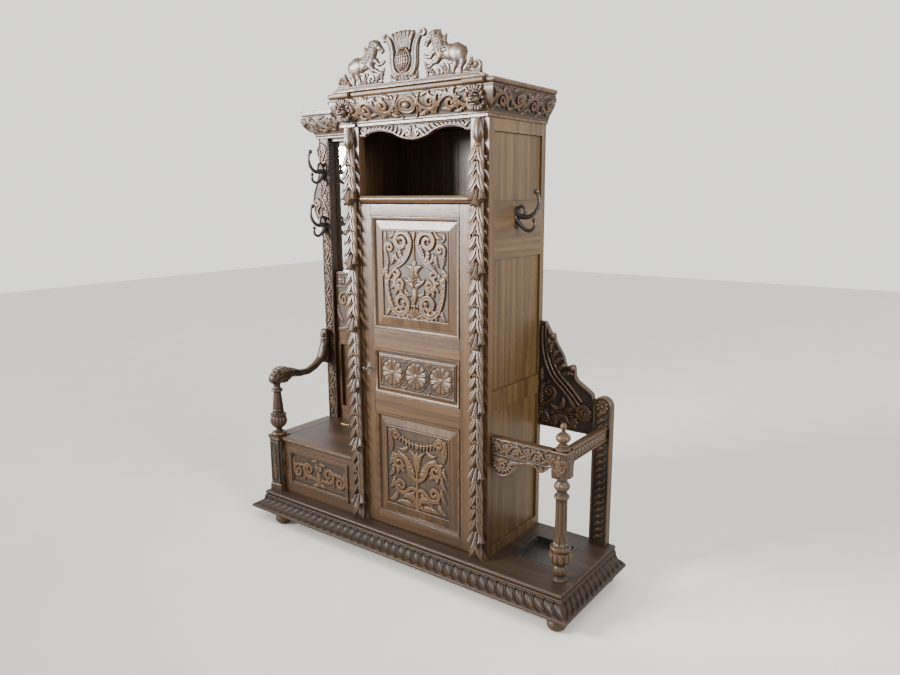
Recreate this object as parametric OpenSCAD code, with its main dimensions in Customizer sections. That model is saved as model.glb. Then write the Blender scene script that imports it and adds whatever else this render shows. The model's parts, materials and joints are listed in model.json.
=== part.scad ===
// Carved oak hall stand: a tall central wardrobe between a box seat with a mirror
// (left) and an umbrella bay (right), all on one plinth with bun feet.
// Inside the modules x runs from the left end, y is 0 at the wall and negative
// towards the front, and z starts at the floor. stand() moves that to the centre.

/* [Overall] */
// Width over the plinth's lower lip
overall_w = 1880; // [1760:1:2000]
// Depth over the plinth's lower lip
overall_d = 571; // [550:1:600]
// Height of the bun feet
foot_h = 55; // [45:1:65]
// Height of the plinth, feet left out
plinth_h = 92; // [85:1:100]

/* [Cabinet] */
// Left side of the cabinet, from the plinth's left end
cab_x = 657; // [640:1:670]
// Width of the cabinet
cab_w = 774; // [740:1:800]
// Depth of the cabinet
cab_d = 445; // [435:1:450]
// Underside of the bed moulding
bed_z = 1987; // [1960:1:2010]
// Width of each front stile
stile_w = 85; // [80:1:90]
// Thickness of the front stiles
stile_t = 38; // [34:1:42]

/* [Door] */
// Thickness of the door frame
door_t = 24; // [20:1:26]
// Gap between the door and the stiles
door_gap = 2; // [2:0.5:3]
// Top of the door
door_top = 1655; // [1640:1:1660]

/* [Seat] */
// Height of the seat's top
seat_h = 447; // [430:1:460]
// Thickness of the seat lid
lid_t = 22; // [18:1:24]

/* [Umbrella bay] */
// Top of the umbrella rail
rail_h = 700; // [690:1:710]
// Width of the square column block
block_w = 68; // [60:1:72]

/* [Hidden] */
$fn = 48;

oak = [0.27, 0.17, 0.11];
oak_dark = [0.18, 0.11, 0.07];
oak_warm = [0.38, 0.23, 0.13];
oak_side = [0.33, 0.26, 0.19];
iron = [0.12, 0.12, 0.12];
brass_old = [0.45, 0.36, 0.2];

// Plinth and deck
lip = 57;
deck_z = foot_h + plinth_h;
deck_t = 20;
moulding_t = 22;
moulding_top = deck_z - deck_t;
mitre = lip + moulding_t;
foot_y = [-518, -70];
foot_x = [190, overall_w - 68];

// Cabinet
cab_r = cab_x + cab_w;
cab_mid = cab_x + cab_w / 2;
open_l = cab_x + stile_w;
open_r = cab_r - stile_w;
side_t = 22;
side_x_left = [cab_x, cab_x + side_t];
side_x_right = [cab_r - side_t, cab_r];
side_back_w = 31;
stile_back = -cab_d + stile_t;
back_t = 12;
hook_board_z = [1433, 1668];
side_rail_z = [800, 886];
side_bottom_rail = 43;
side_top_rail_z = 1937;
shelf_z = [1664, 1684];
garland_proud = 35;
garland_gap = 4;

// Cornice
bed_t = 11;
bed_over = 8;
frieze_top = 2105;
cornice_top_z = 2127;
cornice_over = 51;
cornice_front = 495;
block_front = 509;
mask_w = 80;
mask_x = [cab_x - 2, cab_r + 2 - mask_w];
frieze_in = 20;

// Crest
crest_y = [-505, -468];
crest_base_z = 2147;

// Door
door_front = -cab_d + 2;
door_back = door_front + door_t;
door_l = open_l + door_gap;
door_r = open_r - door_gap;
door_bottom = deck_z + 3;
door_stile_w = 57;
panel_l = door_l + door_stile_w;
panel_r = door_r - door_stile_w;
panel_z = [[203, 705], [794, 1007], [1098, 1603]];
panel_border = [58, 30, 58];
moulding_w = 20;

// Door hinges and lock
hinge_r = 4;
hinge_pin_r = 2;
hinge_slack = 0.05;
hinge_len = 62;
hinge_z = [320, 900, 1480];
hinge_x = (door_r + open_r) / 2;
hinge_y = -cab_d - 4.2;
leaf_t = 1.6;
leaf_in = 24;
lock_z = 908;
key_x = door_l + 24;
bolt_throw = 10;

// Seat
seat_x = 68;
post_w = 74;
post_front = -480;
seat_front = -452;
seat_frame_t = 22;
seat_frame_x = [seat_x + post_w, cab_x];
seat_frame_w = 48;
seat_frame_top = seat_h - lid_t - 0.5;
lid_l = 148;
lid_back = -120;
lid_gap = 1.5;
lid_hinge_x = [240, 540];
lid_hinge_len = 60;
lid_hinge_r = 3.5;
lid_axis = [lid_back, seat_h + 1.2];
arm_x = [72, 130];
arm_y = -442;

// Left bay
bay_l = 80;
bay_stile_w = 71;
bay_stile_t = 60;
bay_in_l = bay_l + bay_stile_w;
bay_frame_t = 36;
bay_in_r = cab_x - 34;
plain_panel_z = [seat_h + 53, 900];
bay_panel_z = [950, 1282];
mirror_z = [1283, 1972];
bevel_w = 28;
left_cornice_front = 120;
left_cornice_x = 10;

// Umbrella bay
column_x = 1763;
column_y = -409;
rail_t = 30;
back_post_x = [1708, 1795];
back_post_t = 34;
pan_x = [1497, 1692];
pan_y = [-330, -122];

module stand() translate([-overall_w / 2, overall_d / 2, 0]) children();

module slab(x, y, z) translate([x[0], y[0], z[0]]) cube([x[1] - x[0], y[1] - y[0], z[1] - z[0]]);

// Outline given as [y, z] points, run along x
module run_x(x, points) translate([x[0], 0, 0]) rotate([90, 0, 90]) linear_extrude(x[1] - x[0]) polygon(points);

// Outline given as [x, z] points, run along y
module run_y(y, points) translate([0, y[1], 0]) rotate([90, 0, 0]) linear_extrude(y[1] - y[0]) polygon(points);

// Two-dimensional children drawn in x and z, run along y
module shape_y(y) translate([0, y[1], 0]) rotate([90, 0, 0]) linear_extrude(y[1] - y[0]) children();

module turned(points) rotate_extrude() polygon(points);

// Half-round nose from (u, z0) to (u, z0 + t), bulging towards side
function nose(u, z0, t, side, steps = 8) =
    [for (i = [0:steps]) let (a = -90 + 180 * i / steps) [u + side * t / 2 * cos(a), z0 + t / 2 + t / 2 * sin(a)]];

function reversed(p) = [for (i = [len(p) - 1:-1:0]) p[i]];

// Quadratic curve through three guide points
function bend(a, b, c, steps = 8) =
    [for (i = [0:steps]) let (t = i / steps) (1 - t) * (1 - t) * a + 2 * t * (1 - t) * b + t * t * c];

// ---- Plinth ----

module bun_feet() color(oak_dark) stand()
    for (x = foot_x, y = foot_y) translate([x, y, 0])
        turned(concat([[0, 0], [20, 0]],
            [for (a = [-50:14:50]) [41 * cos(a), foot_h * 0.5 + 31 * sin(a)]],
            [[24, foot_h], [0, foot_h]]));

// Section of the plinth moulding as [outwards from the deck's edge, height]
function plinth_section() = let (b = foot_h, t = moulding_top) concat(
    [[-moulding_t, t], [2, t]],
    reversed(nose(3, t - 12, 11, 1, 6)),
    bend([8, t - 14], [16, t - 34], [lip - 12, b + 26]),
    reversed(nose(lip - 9, b + 4, 18, 1, 6)),
    [[lip - 14, b], [-moulding_t, b]]);

module plinth_side_run(right)
    intersection() {
        run_y([-overall_d, 0], [for (p = plinth_section())
            [right ? overall_w - lip + p[0] : lip - p[0], p[1]]]);
        linear_extrude(deck_z) polygon(right
            ? [[overall_w, -overall_d], [overall_w, 0], [overall_w - mitre, 0], [overall_w - mitre, -overall_d + mitre]]
            : [[0, -overall_d], [mitre, -overall_d + mitre], [mitre, 0], [0, 0]]);
    }

module plinth_mouldings() color(oak) stand() {
    intersection() {
        run_x([0, overall_w], [for (p = plinth_section()) [-overall_d + lip - p[0], p[1]]]);
        linear_extrude(deck_z) polygon([[0, -overall_d], [overall_w, -overall_d],
            [overall_w - mitre, -overall_d + mitre], [mitre, -overall_d + mitre]]);
    }
    plinth_side_run(false);
    plinth_side_run(true);
}

module plinth_bearers() color(oak_dark) stand() {
    z = [foot_h, moulding_top];
    slab([mitre, overall_w - mitre], [-22, 0], z);
    for (x = [mitre + 90, cab_x, cab_r - 30, overall_w - mitre - 40])
        slab([x, x + 30], [-overall_d + mitre, -22], z);
}

module deck_board() color(oak_warm) stand()
    difference() {
        intersection() {
            run_x([0, overall_w], concat([[0, moulding_top]],
                nose(-overall_d + lip + 6, moulding_top, deck_t, -1), [[0, deck_z]]));
            run_y([-overall_d, 0], concat(
                nose(overall_w - lip - 6, moulding_top, deck_t, 1),
                reversed(nose(lip + 6, moulding_top, deck_t, -1))));
        }
        slab(pan_x, pan_y, [moulding_top - 1, deck_z + 1]);
    }

// ---- Cabinet ----

module hinge_recess(leaf_x)
    for (z = hinge_z) slab(leaf_x, [hinge_y, hinge_y + hinge_r + leaf_in], [z - 0.2, z + hinge_len + 0.2]);

module front_stiles() color(oak) stand()
    difference() {
        for (x = [cab_x, open_r]) slab([x, x + stile_w], [-cab_d, stile_back], [deck_z, bed_z]);
        hinge_recess([open_r - 1, open_r + leaf_t]);
        slab([open_l - 12, open_l + 1], [door_back + 1.5, door_back + 11.5], [lock_z + 5, lock_z + 21]);
    }

// One garland: long overlapping leaves between bud clusters, on a tapering spine
module garland(x, mirrored) translate([x, -cab_d, 0]) mirror([mirrored ? 1 : 0, 0, 0]) {
    clusters = 6;
    pitch = (bed_z - deck_z - 60) / clusters;
    shape_y([-9, 0]) polygon([[-34, deck_z], [34, deck_z], [38, bed_z], [-38, bed_z]]);
    for (i = [0:clusters - 1]) {
        z = bed_z - 20 - i * pitch;
        run_x([-36, 36], [[-9, z], [-20, z - 40], [-28, z - 0.55 * pitch], [-9, z - 0.55 * pitch]]);
        run_x([-30, 30], [[-9, z - 0.55 * pitch], [-18, z - 0.6 * pitch], [-garland_proud, z - 0.88 * pitch],
            [-24, z - 0.93 * pitch], [-9, z - 0.93 * pitch]]);
    }
}

module garland_left() color(oak_dark) stand() garland(cab_x + stile_w / 2, false);
module garland_right() color(oak_dark) stand() garland(open_r + garland_gap + 40, true);

module side_frame(x, rails) {
    slab(x, [-side_back_w, 0], [deck_z, bed_z]);
    for (z = rails) slab(x, [stile_back, -side_back_w], z);
}

module side_frame_left() color(oak_side) stand()
    side_frame(side_x_left, [[deck_z, deck_z + side_bottom_rail], side_rail_z,
        [hook_board_z[0], hook_board_z[0] + 80], [side_top_rail_z, bed_z]]);
module side_frame_right() color(oak_side) stand()
    side_frame(side_x_right, [[deck_z, deck_z + side_bottom_rail], side_rail_z, [side_top_rail_z, bed_z]]);
module hook_board_right() color(oak_side) stand()
    slab(side_x_right, [stile_back, -side_back_w], hook_board_z);

module side_panels(x, heights)
    for (z = heights) slab(x, [stile_back, -side_back_w], z);

module side_panels_left() color(oak_side) stand()
    side_panels([cab_x + 12, cab_x + 20], [[deck_z + side_bottom_rail, side_rail_z[0]],
        [side_rail_z[1], hook_board_z[0]], [hook_board_z[0] + 80, side_top_rail_z]]);
module side_panels_right() color(oak_side) stand()
    side_panels([cab_r - 20, cab_r - 12], [[deck_z + side_bottom_rail, side_rail_z[0]],
        [side_rail_z[1], hook_board_z[0]], [hook_board_z[1], side_top_rail_z]]);

module cabinet_back_boards() color(oak_dark) stand() {
    boards = 5;
    inner = [cab_x + side_t, cab_r - side_t];
    w = (inner[1] - inner[0]) / boards;
    for (i = [0:boards - 1]) slab([inner[0] + i * w + 0.4, inner[0] + (i + 1) * w - 0.4], [-back_t, 0], [deck_z, bed_z]);
}

module niche_shelf() color(oak_warm) stand() {
    slab([cab_x + side_t, cab_r - side_t], [stile_back, -back_t], shelf_z);
    run_x([open_l, open_r], concat([[stile_back, shelf_z[0]]],
        [[-cab_d, shelf_z[0] - 5], [-cab_d - 4, shelf_z[0] + 1]],
        nose(-cab_d - 5, shelf_z[0] + 3, 18, -1, 6),
        [[-cab_d - 2, shelf_z[1] + 6], [stile_back, shelf_z[1] + 6]]));
}

// Half of the apron's lower edge, from the side to the middle
function apron_half() = concat(
    [[0, bed_z - 43], [34, bed_z - 43]],
    bend([40, bed_z - 36], [115, bed_z - 12], [190, bed_z - 38]),
    bend([215, bed_z - 50], [250, bed_z - 66], [(open_r - open_l) / 2, bed_z - 69], 5));

module apron() color(oak) stand() {
    half = apron_half();
    run_y([-cab_d + 5, -cab_d + 25], concat(
        [for (p = half) [open_l + p[0], p[1]]],
        // The middle point belongs to both halves and is drawn once
        [for (i = [len(half) - 2:-1:0]) [open_r - half[i][0], half[i][1]]],
        [[open_r, bed_z], [open_l, bed_z]]));
}

// ---- Cornice ----

module bed_moulding() color(oak) stand() {
    slab([cab_x - bed_over, cab_r + bed_over], [-cab_d - bed_over, 0], [bed_z, bed_z + bed_t]);
    for (x = mask_x) slab([x - 5, x + mask_w + 5], [-cab_d - bed_over - 12, -cab_d - bed_over], [bed_z, bed_z + bed_t]);
}

// Bulging section of the friezes as [outwards, height], from bed to cornice top
function frieze_section() = let (z = bed_z + bed_t) concat(
    [[-frieze_in, z], [5, z], [8, z + 8]], bend([14, z + 22], [46, z + 60], [45, z + 92], 6),
    [[41, frieze_top], [-frieze_in, frieze_top]]);

module frieze_front() color(oak) stand()
    difference() {
        intersection() {
            run_x([cab_x - 60, cab_r + 60], [for (p = frieze_section()) [-cab_d - p[0], p[1]]]);
            union() {
                run_y([-cab_d - 60, -cab_d + frieze_in], [for (p = frieze_section()) [cab_r + p[0], p[1]]]);
                run_y([-cab_d - 60, -cab_d + frieze_in], [for (p = frieze_section()) [cab_x - p[0], p[1]]]);
                slab([cab_x + frieze_in, cab_r - frieze_in], [-cab_d - 60, -cab_d + frieze_in], [bed_z, frieze_top]);
            }
        }
        for (x = mask_x) slab([x, x + mask_w], [-cab_d - 60, -cab_d + frieze_in + 1], [bed_z, frieze_top + 1]);
    }

module frieze_sides() color(oak_side) stand() {
    run_y([-cab_d + frieze_in, 0], [for (p = frieze_section()) [cab_r + p[0], p[1]]]);
    run_y([-cab_d + frieze_in, -left_cornice_front], [for (p = frieze_section()) [cab_x - p[0], p[1]]]);
    // Board that closes the cornice at the wall
    slab([cab_x, cab_r - frieze_in], [-back_t, 0], [bed_z + bed_t, frieze_top]);
}

module cornice_top() color(oak) stand() {
    z = frieze_top;
    t = cornice_top_z - frieze_top;
    r = t / 2;
    intersection() {
        run_x([cab_x - cornice_over, cab_r + cornice_over],
            concat([[0, z]], nose(-cornice_front + r, z, t, -1), [[0, cornice_top_z]]));
        run_y([-cornice_front, 0], concat(
            nose(cab_r + cornice_over - r, z, t, 1),
            reversed(nose(cab_x - cornice_over + r, z, t, -1))));
    }
    for (x = mask_x) run_x([x - 7, x + mask_w + 7],
        concat([[-cornice_front + r, z]], nose(-block_front + r, z, t, -1), [[-cornice_front + r, cornice_top_z]]));
}

module cornice_masks() color(oak_dark) stand()
    for (x = mask_x) run_x([x, x + mask_w], let (z = bed_z + bed_t) concat(
        [[-cab_d + frieze_in, z], [-cab_d - 18, z]],
        bend([-cab_d - 26, z + 20], [-cab_d - 60, z + 62], [-cab_d - 55, frieze_top - 8], 6),
        [[-cab_d - 50, frieze_top], [-cab_d + frieze_in, frieze_top]]));

// ---- Crest ----

module at_crest() translate([cab_mid, 0, cornice_top_z]) children();

module crest_cartouche() color(oak) stand() at_crest() {
    base = crest_base_z - cornice_top_z;
    // Low board with sloping ends
    shape_y([crest_y[0] + 4, crest_y[1]])
        polygon([[-402, 0], [402, 0], [396, 10], [372, base], [-372, base], [-396, 10]]);
    // Horseshoe strap with turned-out ears
    shape_y([crest_y[0] + 6, crest_y[1]]) difference() {
        union() {
            translate([0, 106]) scale([0.82, 1]) circle(76);
            polygon([[-60, base - 1], [60, base - 1], [40, 60], [-40, 60]]);
            for (s = [-1, 1]) polygon([[s * 40, 120], [s * 66, 110], [s * 88, 160], [s * 92, 190], [s * 108, 206],
                [s * 84, 206], [s * 66, 190], [s * 52, 150]]);
        }
        translate([0, 112]) scale([0.72, 1]) circle(60);
        polygon([[-44, 130], [44, 130], [56, 190], [-56, 190]]);
    }
    // Oval boss inside the strap and the fluted fan above it
    shape_y([crest_y[0] + 2, crest_y[1] + 6]) translate([0, 98]) scale([0.86, 1]) circle(50);
    shape_y([crest_y[0] + 10, crest_y[1] - 6])
        polygon([[-26, 135], [26, 135], [60, 196], [54, 208], [0, 212], [-54, 208], [-60, 196]]);
}

// Rearing maned beast, facing the middle; x grows away from the middle
module beast() shape_y([crest_y[0] + 2, crest_y[1] - 2]) {
    hull() { translate([262, 92]) circle(38); translate([176, 104]) circle(34); }
    hull() { translate([170, 120]) circle(32); translate([146, 168]) circle(27); }
    hull() { translate([140, 172]) circle(22); translate([112, 154]) circle(10); }
    hull() { translate([280, 80]) circle(22); translate([284, 40]) circle(12); translate([262, 28]) circle(7); }
    hull() { translate([256, 74]) circle(20); translate([246, 29]) circle(8); }
    hull() { translate([166, 92]) circle(18); translate([120, 78]) circle(9); }
    polygon([[120, 20], [300, 20], [290, 34], [130, 34]]);
}

module crest_beast_right() color(oak_dark) stand() at_crest() beast();
module crest_beast_left() color(oak_dark) stand() at_crest() mirror([1, 0, 0]) beast();

module crest_scrolls() color(oak) stand() at_crest()
    for (s = [0, 1]) mirror([s, 0, 0]) shape_y([crest_y[0] + 6, crest_y[1] - 2])
        difference() {
            union() {
                polygon([[308, 20.3], [371, 20.3], [362, 34], [330, 84], [318, 60], [309, 80]]);
                translate([358, 46]) circle(20);
            }
            translate([0, -20]) square([500, 40.3]);
        }

// ---- Door ----

module door_frame() color(oak_warm) stand()
    difference() {
        union() {
            for (x = [door_l, panel_r]) slab([x, x + door_stile_w], [door_front, door_back], [door_bottom, door_top]);
            for (z = [[door_bottom, panel_z[0][0]], [panel_z[0][1], panel_z[1][0]],
                    [panel_z[1][1], panel_z[2][0]], [panel_z[2][1], door_top]])
                slab([panel_l, panel_r], [door_front, door_back], z);
        }
        hinge_recess([door_r - leaf_t, door_r + 1]);
        // Keyhole
        translate([key_x, door_back + 1, lock_z]) rotate([90, 0, 0]) cylinder(r = 3.4, h = door_t + 2);
        slab([key_x - 1.6, key_x + 1.6], [door_front - 1, door_back + 1], [lock_z - 10, lock_z]);
    }

// Mitred frame that lies round the edge of an opening
module picture_frame(x, z, y, w)
    difference() {
        slab(x, y, z);
        slab([x[0] + w, x[1] - w], [y[0] - 1, y[1] + 1], [z[0] + w, z[1] - w]);
    }

module door_mouldings() color(oak_warm) stand()
    for (z = panel_z) picture_frame([panel_l, panel_r], z, [door_front - 4, door_front + 12], moulding_w);

module door_panel(z, border) {
    // Sloping raised field on a thin tongue
    slab([panel_l, panel_r], [door_front + 12, door_front + 20], z);
    slab([panel_l + border, panel_r - border], [door_front + 2, door_front + 12], [z[0] + border, z[1] - border]);
}

module door_panel_top() color(oak) stand() door_panel(panel_z[2], panel_border[2]);
module door_panel_middle() color(oak) stand() door_panel(panel_z[1], panel_border[1]);
module door_panel_bottom() color(oak) stand() door_panel(panel_z[0], panel_border[0]);

// Five knuckles share a barrel: the post holds the first, third and fifth and the pin
module barrel(r, bore, parts)
    for (i = parts) let (k = hinge_len / 5)
        translate([0, 0, i * k + (i > 0 ? 0.2 : 0)]) difference() {
            cylinder(r = r, h = k - (i > 0 ? 0.4 : 0.2));
            if (bore > 0) translate([0, 0, -1]) cylinder(r = bore, h = k + 2);
        }

module door_hinge_leaves() color(iron) stand()
    for (z = hinge_z) {
        translate([hinge_x, hinge_y, z]) barrel(hinge_r, hinge_pin_r + hinge_slack, [1, 3]);
        difference() {
            slab([door_r - leaf_t, door_r], [hinge_y + 1, hinge_y + hinge_r + leaf_in], [z, z + hinge_len]);
            for (i = [0, 2, 4]) slab([door_r - leaf_t - 1, door_r + 1], [hinge_y - 1, hinge_y + hinge_r + 0.6],
                [z + i * hinge_len / 5 - 0.3, z + (i + 1) * hinge_len / 5 + 0.3]);
            translate([hinge_x, hinge_y, z - 1]) cylinder(r = hinge_pin_r + hinge_slack, h = hinge_len + 2);
        }
    }

module post_hinge_leaves() color(iron) stand()
    for (z = hinge_z) {
        translate([hinge_x, hinge_y, z]) {
            barrel(hinge_r, 0, [0, 2, 4]);
            cylinder(r = hinge_pin_r, h = hinge_len);
            translate([0, 0, hinge_len]) turned([[0, 0], [hinge_r, 0], [hinge_r - 1, 4], [0, 6]]);
        }
        difference() {
            slab([open_r, open_r + leaf_t], [hinge_y + 1, hinge_y + hinge_r + leaf_in], [z, z + hinge_len]);
            for (i = [1, 3]) slab([open_r - 1, open_r + leaf_t + 1], [hinge_y - 1, hinge_y + hinge_r + 0.6],
                [z + i * hinge_len / 5 - 0.1, z + (i + 1) * hinge_len / 5 + 0.1]);
        }
    }

// Rim lock on the inside of the door, with the key's way right through it
module lock_case() color(iron) stand()
    difference() {
        slab([door_l + 1, door_l + 70], [door_back, door_back + 15], [lock_z - 32, lock_z + 38]);
        slab([door_l + 3, door_l + 68], [door_back + 1.5, door_back + 13], [lock_z - 30, lock_z + 36]);
        slab([door_l, door_l + 4], [door_back + 2, door_back + 11], [lock_z + 10.5, lock_z + 20.5]);
        translate([key_x, door_back + 2, lock_z]) rotate([90, 0, 0]) cylinder(r = 3.4, h = 4);
        slab([key_x - 1.6, key_x + 1.6], [door_back - 1, door_back + 2], [lock_z - 10, lock_z]);
    }

module lock_bolt() color(brass_old) stand()
    slab([door_l + 0.5, door_l + 52], [door_back + 2.5, door_back + 10.5], [lock_z + 11, lock_z + 20]);

module escutcheon() color(iron) stand()
    difference() {
        shape_y([door_front - 1.6, door_front]) translate([key_x, lock_z - 4]) {
            scale([0.62, 1]) circle(22);
            translate([0, 24]) circle(6);
            translate([0, -24]) circle(6);
        }
        translate([key_x, door_front + 1, lock_z]) rotate([90, 0, 0]) cylinder(r = 3.4, h = 4);
        slab([key_x - 1.6, key_x + 1.6], [door_front - 3, door_front + 1], [lock_z - 10, lock_z]);
    }

module key() color(iron) stand() translate([key_x, 0, lock_z]) {
    // Shank, collar, bit and pierced bow; the bit hangs down at rest
    translate([0, door_back + 11, 0]) rotate([90, 0, 0]) cylinder(r = 2.6, h = 56);
    translate([0, door_front - 5, 0]) rotate([90, 0, 0]) cylinder(r = 4.4, h = 3);
    slab([-1, 1], [door_back + 3, door_back + 10], [-9, -1]);
    translate([0, door_back + 11 - 56 - 9, 0]) rotate([0, 90, 0]) rotate_extrude() translate([9, 0]) circle(2.2);
}

// ---- Seat ----

module seat_post() color(oak) stand() {
    x = [seat_x - 4, seat_x + post_w];
    y = [post_front, post_front + post_w];
    slab([x[0] - 2, x[1]], [y[0] - 3, y[1] + 3], [deck_z, deck_z + 34]);
    slab([x[0] + 2, x[1]], y, [deck_z + 34, seat_h - 18]);
    slab([x[0] - 1, x[1]], [y[0] - 3, y[1] + 3], [seat_h - 18, seat_h + 4]);
}

module seat_front_frame() color(oak_warm) stand() {
    y = [seat_front, seat_front + seat_frame_t];
    top = seat_frame_top;
    w = seat_frame_w;
    slab([seat_frame_x[0], seat_frame_x[0] + w], y, [deck_z, top]);
    slab([seat_frame_x[1] - w, seat_frame_x[1]], y, [deck_z, top]);
    slab([seat_frame_x[0] + w, seat_frame_x[1] - w], y, [deck_z, deck_z + 50]);
    slab([seat_frame_x[0] + w, seat_frame_x[1] - w], y, [top - 38, top]);
    picture_frame([seat_frame_x[0] + w - 6, seat_frame_x[1] - w + 6], [deck_z + 44, top - 32],
        [seat_front - 7, seat_front], 20);
}

module seat_front_panel() color(oak) stand() {
    top = seat_frame_top;
    w = seat_frame_w;
    slab([seat_frame_x[0] + w, seat_frame_x[1] - w], [seat_front + 8, seat_front + 16], [deck_z + 50, top - 38]);
    slab([seat_frame_x[0] + w + 20, seat_frame_x[1] - w - 20], [seat_front, seat_front + 8], [deck_z + 70, top - 58]);
}

module seat_side_panel() color(oak_side) stand() {
    top = seat_frame_top;
    x = [seat_x + 4, seat_x + 26];
    y = [post_front + post_w + 3, -bay_stile_t];
    picture = 46;
    slab(x, y, [deck_z, deck_z + picture]);
    slab(x, y, [top - picture, top]);
    slab(x, [y[0], y[0] + picture], [deck_z + picture, top - picture]);
    slab(x, [y[1] - picture, y[1]], [deck_z + picture, top - picture]);
    slab([x[0] + 8, x[1] - 4], [y[0] + picture, y[1] - picture], [deck_z + picture, top - picture]);
}

// Fixed boards round the lid: left side, back strip and the narrow strip by the cabinet
module seat_surround() color(oak_warm) stand() {
    z = [seat_h - lid_t, seat_h];
    slab([seat_x, lid_l - lid_gap], [post_front + post_w + 3, -bay_stile_t], z);
    slab([seat_frame_x[0], lid_l - lid_gap], [seat_front - 4, post_front + post_w + 3], z);
    slab([lid_l - lid_gap, bay_in_l], [lid_back + 4, -bay_stile_t], z);
    difference() {
        slab([bay_in_l, cab_x], [lid_back + 4, -bay_frame_t], z);
        for (x = lid_hinge_x) slab([x - 1, x + lid_hinge_len + 1],
            [lid_back + 3, lid_back + 5.6], [seat_h - 12, seat_h + 1]);
    }
}

module seat_lid() color(oak_warm) stand()
    difference() {
        run_x([lid_l, cab_x - 3], concat([[lid_back - 4, seat_h - lid_t]],
            [[seat_front - 4, seat_h - lid_t]], nose(seat_front - 5, seat_h - lid_t, lid_t, -1, 6), [[lid_back - 4, seat_h]]));
        for (x = lid_hinge_x) slab([x - 1, x + lid_hinge_len + 1],
            [lid_back - 5.6, lid_back - 3], [seat_h - 12, seat_h + 1]);
    }

// Knuckles of a lid hinge along x, numbered from the left
module lid_barrel(bore, parts)
    for (i = parts) let (k = lid_hinge_len / 5) translate([i * k + 0.2, 0, 0]) rotate([0, 90, 0]) difference() {
        cylinder(r = lid_hinge_r, h = k - 0.4);
        if (bore > 0) translate([0, 0, -1]) cylinder(r = bore, h = k + 2);
    }

module lid_hinge_leaves() color(brass_old) stand()
    for (x = lid_hinge_x) translate([x, lid_axis[0], lid_axis[1]]) {
        lid_barrel(1.8, [1, 3]);
        for (i = [1, 3]) let (k = lid_hinge_len / 5)
            slab([i * k + 0.2, (i + 1) * k - 0.2], [-5.4, -3.1], [-12, 1]);
        slab([0, lid_hinge_len], [-5.4, -4.1], [-12.4, -4.2]);
    }

module surround_hinge_leaves() color(brass_old) stand()
    for (x = lid_hinge_x) translate([x, lid_axis[0], lid_axis[1]]) {
        lid_barrel(0, [0, 2, 4]);
        rotate([0, 90, 0]) cylinder(r = 1.75, h = lid_hinge_len);
        for (i = [0, 2, 4]) let (k = lid_hinge_len / 5)
            slab([i * k + 0.2, (i + 1) * k - 0.2], [3.1, 5.4], [-12, 1]);
        slab([0, lid_hinge_len], [4.1, 5.4], [-12.4, -4.2]);
    }

module arm() color(oak_dark) stand()
    run_x(arm_x, concat(
        // Underside, from the stile forwards to the handhold
        bend([-bay_stile_t, 748], [-150, 742], [-250, 732], 5),
        bend([-300, 734], [-360, 742], [-386, 748], 4),
        [[-400, 736], [-418, 731], [-462, 731], [-478, 742], [-484, 760]],
        // Upper side, back to the stile
        bend([-478, 782], [-450, 802], [-400, 800], 5),
        bend([-330, 790], [-250, 776], [-190, 782], 5),
        bend([-140, 796], [-100, 830], [-92, 900], 6),
        [[-88, 945], [-78, 958], [-bay_stile_t, 960]]));

module arm_baluster() color(oak_warm) stand() translate([101, arm_y, seat_h + 4])
    turned(concat([[0, 0], [38, 0], [40, 6], [36, 14], [20, 20], [16, 30]],
        bend([18, 36], [46, 54], [42, 88], 6),
        [[38, 100], [42, 106], [42, 114], [30, 120], [26, 126], [28, 132], [23, 222], [22, 232], [29, 238],
        [29, 246], [20, 252], [17, 262], [20, 280], [0, 280]]));

// ---- Left bay ----

module back_stile_left() color(oak) stand()
    slab([bay_l, bay_in_l], [-bay_stile_t, 0], [deck_z, bed_z]);

module back_bay_frame() color(oak) stand() {
    x = [bay_in_l, bay_in_r];
    y = [-bay_frame_t, 0];
    slab([bay_in_r, cab_x], y, [deck_z, bed_z]);
    for (z = [[deck_z, deck_z + 40], [seat_h - 40, plain_panel_z[0]], [plain_panel_z[1], bay_panel_z[0]],
            [mirror_z[1] + 1, bed_z]])
        slab(x, y, z);
    // Boards behind the mirror and behind the seat box
    for (z = [[bay_panel_z[1], mirror_z[1] + 1], [deck_z + 40, seat_h - 40]]) slab(x, [-10, 0], z);
}

module back_carved_panel() color(oak) stand()
    slab([bay_in_l, bay_in_r], [-bay_frame_t - 4, -6], bay_panel_z);

module back_plain_panel() color(oak_side) stand() {
    slab([bay_in_l, bay_in_r], [-20, -8], plain_panel_z);
    picture_frame([bay_in_l, bay_in_r], plain_panel_z, [-bay_frame_t - 2, -20], 22);
}

// Looking glass with a wide bevel all round
module mirror_glass() color([0.8, 0.85, 0.88]) stand()
    intersection() {
        back = -11;
        edge = -13;
        face = -16.5;
        x = [bay_in_l + 1, bay_in_r - 1];
        run_x(x, [[back, mirror_z[0]], [edge, mirror_z[0]], [face, mirror_z[0] + bevel_w],
            [face, mirror_z[1] - bevel_w], [edge, mirror_z[1]], [back, mirror_z[1]]]);
        linear_extrude(mirror_z[1] + 1) polygon([[x[0], back], [x[0], edge],
            [x[0] + bevel_w, face], [x[1] - bevel_w, face], [x[1], edge], [x[1], back]]);
    }

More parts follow.
